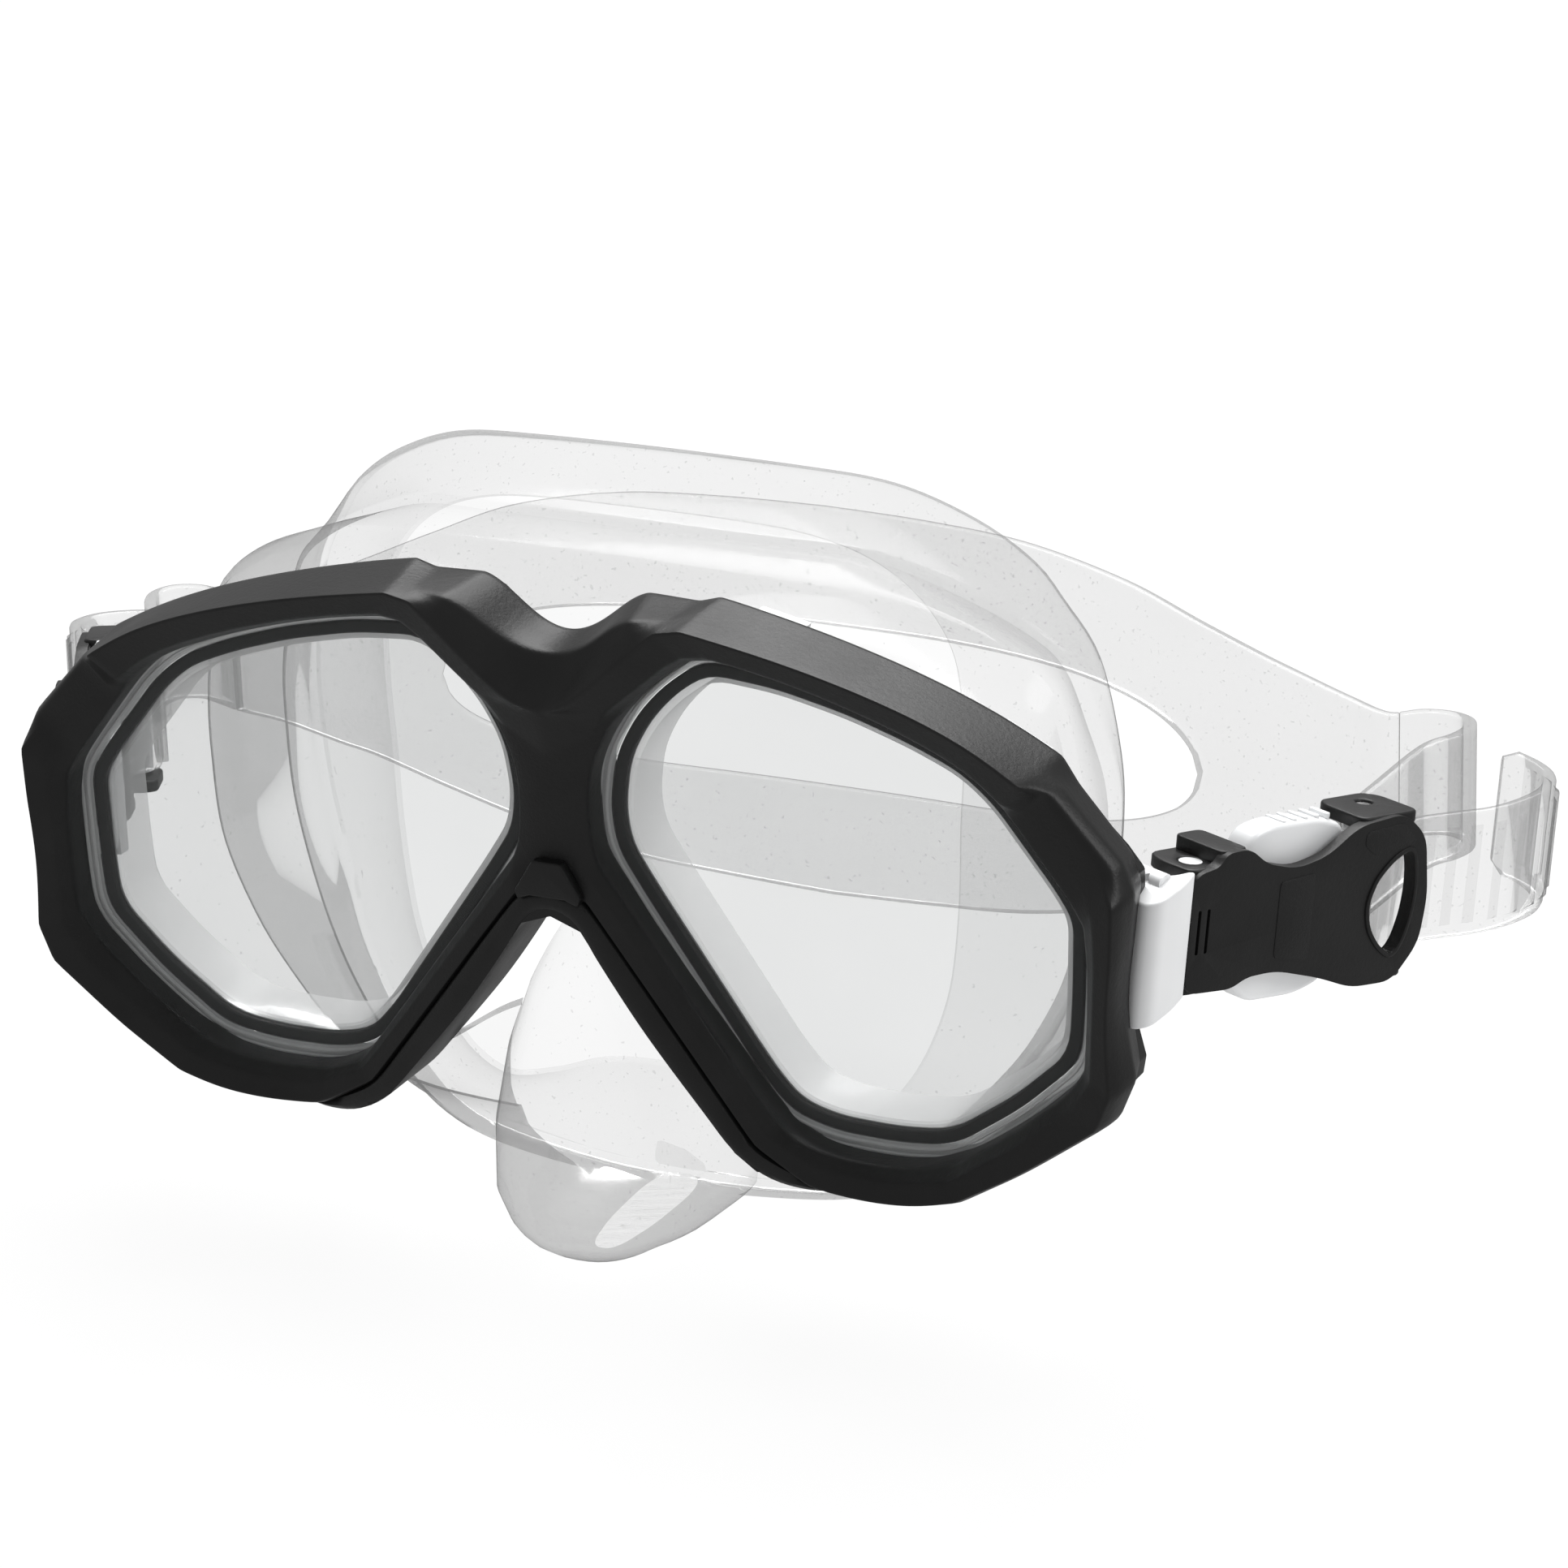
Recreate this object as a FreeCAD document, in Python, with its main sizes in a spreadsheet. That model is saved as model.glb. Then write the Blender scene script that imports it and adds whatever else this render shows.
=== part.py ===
"""Diving mask: two glass lenses in a clamped two-part frame, a clear silicone skirt with a nose pocket,
and a split strap held by two swivelling buckles, each with a release lever and a strap roller.

The mask is drawn with x to the wearer's left, y from the lenses back towards the head and z up. While a
piece is drawn, y = 0 is the front edge of the lens openings. Its Placement then moves it into the part's
own frame, whose origin is the middle of the face seal. Lengths are millimetres.
"""
import FreeCAD, Part
import math
import os
from FreeCAD import Placement, Rotation, Vector

# ---------------------------------------------------------------------------------------- dimensions
DIMENSIONS = {
    # the part's own frame
    "seal_depth": 47.0,
    # frame, depths along y from the front edge of the lens openings
    "crest_depth": -4.0,
    "shoulder_depth": -1.0,
    "front_frame_back": 4.6,
    "flank_depth": 7.0,
    "back_frame_front": 5.0,
    "back_frame_back": 9.0,
    "crest_inset": 1.9,
    "back_frame_inset": 1.6,
    "nose_band_front": -2.2,
    "clip_thick": 1.2,
    # glass and its black ring
    "glass_front": 0.4,
    "glass_thick": 3.8,
    "glass_overlap": 1.0,
    "ring_front": 4.3,
    "ring_thick": 1.6,
    "ring_wide": 1.8,
    # skirt
    "skirt_wall": 1.8,
    "collar_front": 9.1,
    "throat_lip": 1.4,
    "rim_middle": 38.0,
    "rim_temple": 57.0,
    "temple_half": 62.0,
    "lip_wide": 9.0,
    "pocket_wall": 1.6,
    # side bracket and swivel
    "swivel_across": 82.5,
    "swivel_depth": 17.0,
    "swivel_height": 1.0,
    "splay_angle": 25.0,
    "droop_angle": 8.0,
    "pin_radius": 1.55,
    "run_gap": 0.05,
    "barrel_radius": 2.25,
    "barrel_half": 6.2,
    # buckle, in its own frame: x outwards, y back along the strap, z along the swivel pin
    "shell_outer": 4.4,
    "shell_thick": 1.8,
    "ear_thick": 1.9,
    "front_half": 8.6,
    "waist_half": 6.6,
    "rear_half": 11.6,
    "buckle_back": 40.0,
    "ear_inner": -4.6,
    # lever, roller and their pins
    "lever_pivot": 5.6,
    "lever_pin_radius": 0.8,
    "roller_along": 33.4,
    "roller_inward": -2.3,
    "roller_radius": 2.4,
    "axle_radius": 1.1,
    # strap
    "band_thick": 1.8,
    "band_half": 8.7,
    "wide_half": 28.0,
}

# half outlines in the lens plane, (x, z), from the top of the middle line round to its bottom
FRAME_HALF = [
    (0, 33.9), (4.5, 35.6), (9.4, 40.0), (11.8, 41.0), (19.8, 40.7), (22.3, 41.6), (35, 38.9), (48, 35.4),
    (60, 31.2), (70.4, 25.8), (72.4, 22.3), (79.4, 15.3), (82, 12), (82, 5), (80.3, -2), (80.3, -8),
    (82, -14.6), (81.4, -18), (76.4, -23), (67, -30), (58.6, -35), (55, -36.4), (45, -37.4), (36, -37.8),
    (30.6, -36.2), (26, -33), (13.4, -17.6), (6.9, -8.4), (4.4, -4.6), (0, -3),
]
OPENING = [
    (22, 35.8), (41, 32.4), (61, 24.8), (75.5, 6.4), (75.2, -15.6), (56, -31.2), (45, -32.3), (32, -30.8),
    (5.5, 5.1), (5.3, 17.6), (9.6, 24.6),
]
RING_INNER = [
    (21.3, 32), (40.5, 28.9), (57.5, 22.9), (72.3, 6), (71.4, -14.8), (54.8, -27.9), (47, -28.9), (35, -28.2),
    (31, -26), (9, 5.5), (8.4, 10), (9.2, 17.5), (15, 26.8),
]
# the front frame stops at the seam above the nose band
SEAM = [(36.6, -37.3), (28.4, -31.9), (5.2, -0.9), (0, -0.9)]
# skirt sections: depth, then points (x, z) of the right half from the top down
SKIRT_SECTIONS = [
    (9.1, [(0, 33), (12, 36.9), (34, 35.6), (55, 29.4), (68, 19), (73, 6), (71, -14), (60, -27), (40, -33.5),
           (20, -32), (0, -30)]),
    (19.0, [(0, 40.4), (12, 40.5), (33, 39.2), (52, 34.5), (63.5, 24), (69, 9), (68, -14), (57, -32), (38, -43),
            (18, -46), (0, -46)]),
    (28.0, [(0, 43.2), (15, 43.2), (33, 41.4), (49, 37), (61, 27), (67, 12), (66, -12), (56, -34), (38, -48),
            (18, -52), (0, -52.4)]),
    (44.0, [(0, 50), (15, 49.6), (32, 47.6), (46, 42.5), (57.5, 31), (64, 14), (64, -10), (55, -36), (40, -50.5),
            (20, -55.4), (0, -55.8)]),
    (60.0, [(0, 52), (15, 51.6), (32, 49), (46, 43), (56, 31), (61.8, 14), (61.6, -10), (54, -36), (40, -51),
            (20, -55.6), (0, -56)]),
]
# nose pocket, level cuts: height, half width, depth of its front; its back lies inside the skirt
POCKET_SECTIONS = [
    (-3.0, 3.4, 9.6), (-9.0, 6.0, 6.4), (-17.0, 9.4, 1.2), (-27.0, 12.4, -2.2), (-38.0, 14.4, -3.6),
    (-46.0, 14.2, -3.4), (-52.0, 11.6, -1.6), (-56.0, 6.4, 3.0),
]
POCKET_BACK = 36.0
# buckle side view in its own frame, (y, z), upper edge from front to back
BUCKLE_EDGE = [(-3.2, 7.6), (-1.5, 8.6), (5.5, 8.6), (9.5, 7.2), (15, 6.4), (21, 7.4), (27, 11.0), (34.5, 11.6),
               (38.5, 8.4)]
# lever side view, upper edge from front to back
LEVER_EDGE = [(3.9, 6.2), (7.3, 6.4), (8.6, 12.0), (19.0, 12.7), (26.8, 10.6)]
# strap centre lines in a buckle's frame, (x, y): inner run to the knuckle at the back, and the free tail
INNER_RUN = [(-5.95, 33.4), (-5.7, 43.0), (-4.6, 53.5), (-11.5, 56.2), (-24.0, 50.6)]
FREE_TAIL = [(1.35, 33.4), (1.2, 41.5), (7.2, 47.5), (8.4, 56.5), (2.6, 61.8), (-4.5, 61.6)]
# strap centre line behind the head in the mask's frame, (x, depth), and its edges, (x, z)
BACK_RUN_HALF = [(0, 85.0), (32, 83.2), (62, 78.2), (86, 72.4)]
BACK_TOP = [(0, 25.5), (30, 24.5), (52, 20.5), (74, 13.0), (87, 8.0)]
BACK_BOTTOM = [(87, -9.4), (74, -16.5), (52, -27.0), (30, -32.0), (0, -33.5)]
SLOT_IN_STRAP = [(60, -3), (54, 7.5), (-54, 7.5), (-60, -3), (-54, -14.5), (54, -14.5)]

doc = FreeCAD.newDocument("DivingMask")
sheet = doc.addObject("Spreadsheet::Sheet", "Dimensions")
for row, (alias, value) in enumerate(DIMENSIONS.items(), start=1):
    sheet.set(f"A{row}", alias)
    sheet.set(f"B{row}", str(value))
    sheet.setAlias(f"B{row}", alias)
doc.recompute()

NODES = []
SIDES = {"right": 1, "left": -1}


def size(alias):
    """The value of one cell of the sheet."""
    return float(getattr(sheet, alias))


# ------------------------------------------------------------------------------------- outline helpers
def mirrored(half):
    """A closed outline from the right half of a symmetric one."""
    left = [(-x, z) for x, z in reversed(half) if x > 0]
    return list(half) + left


def flipped(points, side):
    """An outline of the right lens, or its mirror image for the left one."""
    if side > 0:
        return list(points)
    return [(-x, z) for x, z in reversed(points)]


def inset(points, amount):
    """The outline moved inwards by amount, corner by corner (outwards if amount is negative)."""
    count = len(points)
    area = sum(points[i][0] * points[(i + 1) % count][1] - points[(i + 1) % count][0] * points[i][1]
               for i in range(count))
    turn = math.copysign(1.0, area)
    moved = []
    for i, (x, z) in enumerate(points):
        ax, az = x - points[i - 1][0], z - points[i - 1][1]
        bx, bz = points[(i + 1) % count][0] - x, points[(i + 1) % count][1] - z
        la, lb = math.hypot(ax, az), math.hypot(bx, bz)
        nx = -turn * (az / la + bz / lb)
        nz = turn * (ax / la + bx / lb)
        square = nx * nx + nz * nz
        reach = 2 * amount / max(square, 1.2)
        moved.append((x + nx * reach, z + nz * reach))
    return moved


def rounded_edges(points, radius, place):
    """Lines and arcs of a closed outline whose corners have the given radius; place turns (u, v) into a Vector."""
    corners = []
    for i, corner in enumerate(points):
        bend = rounded_corner(points[i - 1], corner, points[(i + 1) % len(points)], radius)
        if bend:
            corners.append(bend)
    edges = []
    for i, (start, middle, end) in enumerate(corners):
        edges.append(Part.LineSegment(place(*corners[i - 1][2]), place(*start)))
        edges.append(Part.Arc(place(*start), place(*middle), place(*end)))
    return edges


def rounded_corner(before, corner, after, radius):
    """Start, middle and end of the arc that rounds one corner; None where the outline runs straight on."""
    u = (before[0] - corner[0], before[1] - corner[1])
    v = (after[0] - corner[0], after[1] - corner[1])
    lu, lv = math.hypot(*u), math.hypot(*v)
    u, v = (u[0] / lu, u[1] / lu), (v[0] / lv, v[1] / lv)
    half = math.acos(max(-1.0, min(1.0, u[0] * v[0] + u[1] * v[1]))) / 2
    if half > math.radians(89.8):
        return None
    reach = min(radius / math.tan(half), 0.45 * lu, 0.45 * lv)
    start = (corner[0] + u[0] * reach, corner[1] + u[1] * reach)
    end = (corner[0] + v[0] * reach, corner[1] + v[1] * reach)
    bisector = (u[0] + v[0], u[1] + v[1])
    length = math.hypot(*bisector)
    depth = reach / math.cos(half) - reach * math.tan(half)
    middle = (corner[0] + bisector[0] / length * depth, corner[1] + bisector[1] / length * depth)
    return start, middle, end


def flat_wire(points, radius, depth):
    """Closed wire of a rounded outline standing at one depth."""
    edges = rounded_edges(points, radius, lambda x, z: Vector(x, depth, z))
    return Part.Wire([edge.toShape() for edge in edges])


def slab(points, radius, front, back):
    """Solid between two depths with a rounded outline."""
    face = Part.Face(flat_wire(points, radius, front))
    return face.extrude(Vector(0, back - front, 0))


def smooth_wire(points):
    """Closed smooth curve through points."""
    curve = Part.BSplineCurve()
    curve.interpolate(Points=points, PeriodicFlag=True)
    return Part.Wire([curve.toShape()])


# --------------------------------------------------------------------------------- document helpers
def mask_placement(thing):
    """Moves a piece drawn from the lens openings into the part's own frame."""
    thing.setExpression("Placement.Base.y", "-<<Dimensions>>.seal_depth")


def buckle_placement(thing, side):
    """Stands a piece drawn in a buckle's frame on the swivel of that side."""
    splay = Rotation(Vector(0, 0, 1), -side * size("splay_angle"))
    droop = Rotation(Vector(1, 0, 0), -size("droop_angle"))
    thing.Placement = Placement(Vector(0, 0, 0), splay.multiply(droop))
    sign = "" if side > 0 else "-"
    thing.setExpression("Placement.Base.x", f"{sign}<<Dimensions>>.swivel_across")
    thing.setExpression("Placement.Base.y", "<<Dimensions>>.swivel_depth - <<Dimensions>>.seal_depth")
    thing.setExpression("Placement.Base.z", "<<Dimensions>>.swivel_height")


def new_body(label):
    body = doc.addObject("PartDesign::Body", label)
    body.Label = label
    NODES.append(body)
    return body


def shaped(label, shape):
    """A sub-part whose shape is made with Part's own functions."""
    thing = doc.addObject("Part::Feature", label)
    thing.Label = label
    thing.Shape = shape
    NODES.append(thing)
    return thing


def new_sketch(body, name, role, offset=None):
    """Sketch on one of the body's own planes, moved along its normal by an expression."""
    plane = next(f for f in body.Origin.OriginFeatures if f.Role == role)
    sketch = body.newObject("Sketcher::SketchObject", name)
    sketch.AttachmentSupport = [(plane, "")]
    sketch.MapMode = "FlatFace"
    if offset is not None:
        sketch.setExpression("AttachmentOffset.Base.z", offset)
    return sketch


def outline(sketch, points, radius):
    """Adds a closed rounded outline to a sketch."""
    for edge in rounded_edges(points, radius, lambda u, v: Vector(u, v, 0)):
        sketch.addGeometry(edge, False)


def pad(body, sketch, length, reverse=False, name="Pad"):
    feature = body.newObject("PartDesign::Pad", name)
    feature.Profile = sketch
    feature.setExpression("Length", length)
    feature.Reversed = reverse
    sketch.Visibility = False
    return feature


# --------------------------------------------------------------------------------------- frame pieces
def front_outline():
    """Frame outline that ends at the seam over the nose instead of at the arch."""
    upper = [point for point in FRAME_HALF if point[1] > -37.6 and point != FRAME_HALF[-1]]
    upper = upper[:FRAME_HALF.index((45, -37.4)) + 1]
    return mirrored(upper + SEAM)


def front_frame():
    """Faceted front: crest, sloping top facet and flanks, bevelled lens openings and a scoop over the bridge."""
    rim = front_outline()
    layers = [(size("crest_depth"), size("crest_inset")), (size("shoulder_depth"), 0.5),
              (2.0, 0.0), (size("flank_depth"), 0.35)]
    wires = [flat_wire(inset(rim, amount), 0.8, depth) for depth, amount in layers]
    shape = Part.makeLoft(wires, True, True)
    back = size("flank_depth") + 1
    shape = shape.cut(slab(inset(mirrored(FRAME_HALF), 1.5), 1.0, size("front_frame_back"), back))
    for side in SIDES.values():
        opening = flipped(OPENING, side)
        bevel = Part.makeLoft([flat_wire(inset(opening, -1.5), 4.0, size("crest_depth") - 0.2),
                               flat_wire(opening, 4.0, 0.0)], True, True)
        straight = slab(opening, 4.0, -0.05, back)
        seat = slab(inset(opening, -size("glass_overlap") - 0.1), 4.0, size("glass_front"), back)
        shape = shape.cut(bevel).cut(straight).cut(seat)
    scoop = Part.makeLoft([flat_wire([(-10.5, 41), (10.5, 41), (4.4, 27), (0, 22), (-4.4, 27)], 1.0, -6.0),
                           flat_wire([(-8.0, 44), (8.0, 44), (2.2, 31), (0, 29), (-2.2, 31)], 1.0, 2.5)],
                          True, True)
    shape = shape.cut(scoop)
    mask_placement(shaped("front_frame", shape))


def nose_band(margin):
    """Band that arches over the nose, grown by margin all round."""
    nose = FRAME_HALF[FRAME_HALF.index((30.6, -36.2)):]
    band = mirrored([(0, -1.2)] + [(x - 0.1, z - 0.5) for x, z in SEAM[2:0:-1]] + nose)
    front, back = size("nose_band_front"), size("back_frame_back")
    return slab(inset(band, -margin), 0.4, front - margin, back + margin / 3)


def back_frame():
    """Rear clamping ring, with the band that arches over the nose in front of it."""
    rim = inset(mirrored(FRAME_HALF), size("back_frame_inset"))
    front, back = size("back_frame_front"), size("back_frame_back")
    shape = slab(rim, 0.8, front, back)
    for side in SIDES.values():
        shape = shape.cut(slab(inset(flipped(OPENING, side), -0.3), 4.0, front - 1, back + 1))
    shape = shape.fuse(nose_band(0.0))
    lug = Part.makeBox(3.8, 2.2, 17.0, Vector(76.2, back - 1.0, -10.0))
    for side in SIDES.values():
        shape = shape.fuse(lug if side > 0 else lug.mirror(Vector(0, 0, 0), Vector(1, 0, 0)))
    mask_placement(shaped("back_frame", shape.removeSplitter()))


def bridge_clip():
    """Small plate over the seam at the bridge, on the front of both frame parts."""
    body = new_body("bridge_clip")
    sketch = new_sketch(body, "ClipOutline", "XZ_Plane",
                        "-(<<Dimensions>>.crest_depth - <<Dimensions>>.clip_thick)")
    outline(sketch, mirrored([(0, 3.8), (2.4, 3.6), (4.9, 0.2), (3.4, -1.8), (0, -1.4)]), 0.5)
    pad(body, sketch, "<<Dimensions>>.clip_thick", reverse=True)
    mask_placement(body)


def lens(name, side):
    body = new_body(f"lens_{name}")
    sketch = new_sketch(body, f"Glass_{name}", "XZ_Plane", "-<<Dimensions>>.glass_front")
    outline(sketch, inset(flipped(OPENING, side), -size("glass_overlap")), 4.0)
    pad(body, sketch, "<<Dimensions>>.glass_thick", reverse=True)
    mask_placement(body)


def lens_ring(name, side):
    """Black ring behind the edge of the glass."""
    body = new_body(f"lens_ring_{name}")
    sketch = new_sketch(body, f"Ring_{name}", "XZ_Plane", "-<<Dimensions>>.ring_front")
    inner = flipped(RING_INNER, side)
    outline(sketch, inset(inner, -size("ring_wide")), 2.0)
    outline(sketch, inner, 1.6)
    pad(body, sketch, "<<Dimensions>>.ring_thick", reverse=True)
    mask_placement(body)


def frame_latches():
    """Six tabs of one kind that hook the back frame to the front frame, in the gap at its rim."""
    places = [(30, 38.5, -12), (64, 26.6, -27), (50, -34.6, 4)]
    tabs = []
    for x, z, tilt in places:
        for side in SIDES.values():
            tab = Part.makeBox(7.0, 1.5, 0.8, Vector(-3.5, 0, -0.4))
            tab.rotate(Vector(0, 0, 0), Vector(0, 1, 0), -side * tilt)
            tab.translate(Vector(side * x, size("back_frame_back") + 0.05, z))
            tabs.append(tab)
    mask_placement(shaped("frame_latches", Part.makeCompound(tabs)))


# ---------------------------------------------------------------------------------------------- skirt
def skirt_loft(amount, first=0):
    """Solid through the skirt's sections, each moved inwards by amount."""
    wires = []
    for depth, half in SKIRT_SECTIONS:
        ring = inset(mirrored(half), amount)
        start = depth + (first if depth == SKIRT_SECTIONS[0][0] else 0)
        wires.append(smooth_wire([Vector(x, start, z) for x, z in ring]))
    return Part.makeLoft(wires, True, False)


def pocket_loft(amount):
    """Solid of the nose pocket, each level cut moved inwards by amount."""
    wires = []
    for height, half, front in POCKET_SECTIONS:
        wide, near = half - amount, front + amount
        level = height if amount == 0 else max(height, POCKET_SECTIONS[-1][0] + amount)
        points = [(0, near), (0.55 * wide, near + 0.12 * wide), (0.93 * wide, near + 0.75 * wide),
                  (wide, near + 1.8 * wide), (wide, POCKET_BACK)]
        loop = points + [(-x, y) for x, y in reversed(points) if x > 0]
        wires.append(Part.makePolygon([Vector(x, y, level) for x, y in loop + loop[:1]]))
    return Part.makeLoft(wires, True, False)


def rim_block(behind):
    """Everything behind the curved face of the rim, moved forwards by behind."""
    middle, temple, half = size("rim_middle") - behind, size("rim_temple") - behind, size("temple_half")
    far = 90.0
    arc = Part.Arc(Vector(-half, temple, -80), Vector(0, middle, -80), Vector(half, temple, -80))
    corners = [Vector(half, temple, -80), Vector(far, temple, -80), Vector(far, far, -80),
               Vector(-far, far, -80), Vector(-far, temple, -80), Vector(-half, temple, -80)]
    wire = Part.Wire([arc.toShape()] + [Part.makeLine(a, b) for a, b in zip(corners, corners[1:])])
    return Part.Face(wire).extrude(Vector(0, 0, 160))


def skirt():
    """Clear silicone skirt: lens collars, tub, curved rim with an inward lip, and the nose pocket."""
    wall = size("skirt_wall")
    outer = skirt_loft(0.0)
    inner = skirt_loft(wall, wall)
    opening = skirt_loft(size("lip_wide"), wall)
    shell = outer.fuse(pocket_loft(0.0)).cut(inner).cut(pocket_loft(size("pocket_wall")))
    lip = outer.cut(opening).common(rim_block(wall))
    shape = shell.fuse(lip).cut(rim_block(0.0))
    for side in SIDES.values():
        ring = flipped(RING_INNER, side)
        collar = slab(inset(flipped(OPENING, side), 0.1), 3.0, size("ring_front") + 0.1, size("collar_front") + 0.5)
        seat = slab(inset(ring, -size("ring_wide") - 0.1), 2.0, 0.0, size("ring_front") + size("ring_thick") + 0.1)
        throat = slab(inset(ring, size("throat_lip")), 2.0, 0.0, size("collar_front") + 3 * wall)
        shape = shape.fuse(collar).cut(seat).cut(throat)
    mask_placement(shaped("skirt", shape.cut(nose_band(0.2))))


# ----------------------------------------------------------------------------------- bracket and buckle
def buckle_to_mask(shape, side):
    """A shape drawn in a buckle's frame, moved to where the mask's pieces are drawn."""
    splay = Rotation(Vector(0, 0, 1), -side * size("splay_angle"))
    droop = Rotation(Vector(1, 0, 0), -size("droop_angle"))
    foot = Vector(side * size("swivel_across"), size("swivel_depth"), size("swivel_height"))
    return shape.transformed(Placement(foot, splay.multiply(droop)).toMatrix())


def box(x0, x1, y0, y1, z0, z1, side=1):
    """Block between three pairs of coordinates, mirrored in x for the left side."""
    low, high = sorted((side * x0, side * x1))
    return Part.makeBox(high - low, y1 - y0, z1 - z0, Vector(low, y0, z0))


def post(radius, x, y, z0, z1, side=1):
    """Upright cylinder."""
    return Part.makeCylinder(radius, z1 - z0, Vector(side * x, y, z0))


def side_prism(edge, x0, x1, radius, side):
    """Side view, given by its upper edge and symmetric about z = 0, extruded from x0 to x1."""
    loop = list(edge) + [(y, -z) for y, z in reversed(edge)]
    wire = Part.Wire([e.toShape() for e in rounded_edges(loop, radius, lambda y, z: Vector(side * x0, y, z))])
    return Part.Face(wire).extrude(Vector(side * (x1 - x0), 0, 0))


def buckle_bracket(name, side):
    """White bracket: foot on the back frame's lug, upright block and the barrel that the swivel pin turns in."""
    radius, half = size("barrel_radius"), size("barrel_half")
    block = side_prism([(-8.6, 8.0), (-6.6, 8.9)], -4.0, 3.4, 1.0, side)
    neck = box(-2.4, 0.9, -7.0, 0.0, -half, half, side)
    arm = block.fuse(neck).fuse(post(radius, 0, 0, -half, half, side))
    arm = arm.cut(post(size("pin_radius") + size("run_gap"), 0, 0, -half - 1, half + 1, side))
    back = size("back_frame_back")
    arm = buckle_to_mask(arm, side).cut(box(60, 80.6, 0, back + 1.2, -20, 20, side))
    foot = box(74.2, 79.4, back + 1.2, back + 3.3, -9.6, 7.6, side)
    mask_placement(shaped(f"buckle_bracket_{name}", arm.fuse(foot).removeSplitter()))


def buckle_body(name, side):
    """Black waisted shell with ears at both ends, an eye-shaped opening and the holes of its pins."""
    outer, thick, ear = size("shell_outer"), size("shell_thick"), size("ear_thick")
    inner = outer - thick
    shape = side_prism(BUCKLE_EDGE, inner, outer, 1.2, side)
    front, rear = size("front_half"), size("rear_half")
    reach = size("ear_inner")
    for low, high in ((front - ear, front), (-front, ear - front)):
        shape = shape.fuse(box(reach - 1.0, outer - 0.4, -3.2, 6.4, low, high, side))
    for low, high in ((rear - ear, rear), (-rear, ear - rear)):
        shape = shape.fuse(box(reach - 1.2, outer - 0.4, 28.0, 37.6, low, high, side))
    bar = ear - front
    shape = shape.fuse(box(reach - 1.0, reach, -1.0, 3.2, bar, -bar, side))
    eye = Part.Wire([
        Part.Arc(Vector(0, 33.0, 6.4), Vector(0, 29.2, 0.2), Vector(0, 33.0, -6.0)).toShape(),
        Part.Arc(Vector(0, 33.0, -6.0), Vector(0, 36.6, 0.2), Vector(0, 33.0, 6.4)).toShape(),
    ])
    shape = shape.cut(Part.Face(eye).extrude(Vector(side * 12, 0, 0)))
    shape = shape.cut(post(size("pin_radius"), 0, 0, -20, 20, side))
    shape = shape.cut(post(size("axle_radius"), size("roller_inward"), size("roller_along"), -20, 20, side))
    blind = front - 0.6
    shape = shape.cut(post(size("lever_pin_radius"), -1.0, size("lever_pivot"), -blind, blind, side))
    thing = shaped(f"buckle_body_{name}", shape.removeSplitter())
    buckle_placement(thing, side)


def release_lever(name, side):
    """White lever behind the waist: finger tabs above and below, and a tooth that holds the strap."""
    shape = side_prism(LEVER_EDGE, -3.4, 1.8, 0.8, side)
    shape = shape.fuse(box(-3.2, -0.8, 26.5, 28.4, -5.0, 5.0, side))
    shape = shape.cut(post(size("lever_pin_radius") + size("run_gap"), -1.0, size("lever_pivot"), -20, 20, side))
    thing = shaped(f"release_lever_{name}", shape.removeSplitter())
    buckle_placement(thing, side)


def lever_spring(name, side):
    """Leaf from the bar between the front ears to the back of the lever; it pushes the lever outwards."""
    near = size("ear_inner")
    edge = [(near, -0.6), (near, 3.0), (near + 0.2, 9.0), (near + 0.5, 9.0), (near + 0.3, 2.9), (near + 0.3, -0.6)]
    corners = [Vector(side * x, y, -3.0) for x, y in edge]
    wire = Part.makePolygon(corners + corners[:1])
    thing = shaped(f"lever_spring_{name}", Part.Face(wire).extrude(Vector(0, 0, 6.0)))
    buckle_placement(thing, side)


def roller(name, side):
    """Tube that the strap turns round."""
    half = size("band_half") + 0.6
    x, y = size("roller_inward"), size("roller_along")
    shape = post(size("roller_radius"), x, y, -half, half, side)
    shape = shape.cut(post(size("axle_radius") + size("run_gap"), x, y, -half - 1, half + 1, side))
    thing = shaped(f"strap_roller_{name}", shape)
    buckle_placement(thing, side)


def pin(label, radius, x, y, half, side):
    """Plain pin along the swivel direction."""
    thing = shaped(label, post(radius, x, y, -half, half, side))
    buckle_placement(thing, side)


# ---------------------------------------------------------------------------------------------- strap
def path_edges(points, radius, place):
    """Open level path of straight runs joined by tangent arcs."""
    edges = []
    last = points[0]
    for before, corner, after in zip(points, points[1:], points[2:]):
        start, middle, end = rounded_corner(before, corner, after, radius)
        edges.append(Part.makeLine(place(*last), place(*start)))
        edges.append(Part.Arc(place(*start), place(*middle), place(*end)).toShape())
        last = end
    edges.append(Part.makeLine(place(*last), place(*points[-1])))
    return edges


def ribbon(edges, thick, high):
    """Band of one thickness that stands on a level path and is high tall."""
    path = Part.Wire(edges)
    start = edges[0].valueAt(edges[0].FirstParameter)
    along = edges[0].tangentAt(edges[0].FirstParameter)
    across = Vector(-along.y, along.x, 0) * (thick / 2)
    up = Vector(0, 0, high)
    corners = [start - across, start + across, start + across + up, start - across + up]
    profile = Part.makePolygon(corners + corners[:1])
    return path.makePipeShell([profile], True, True)


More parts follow.
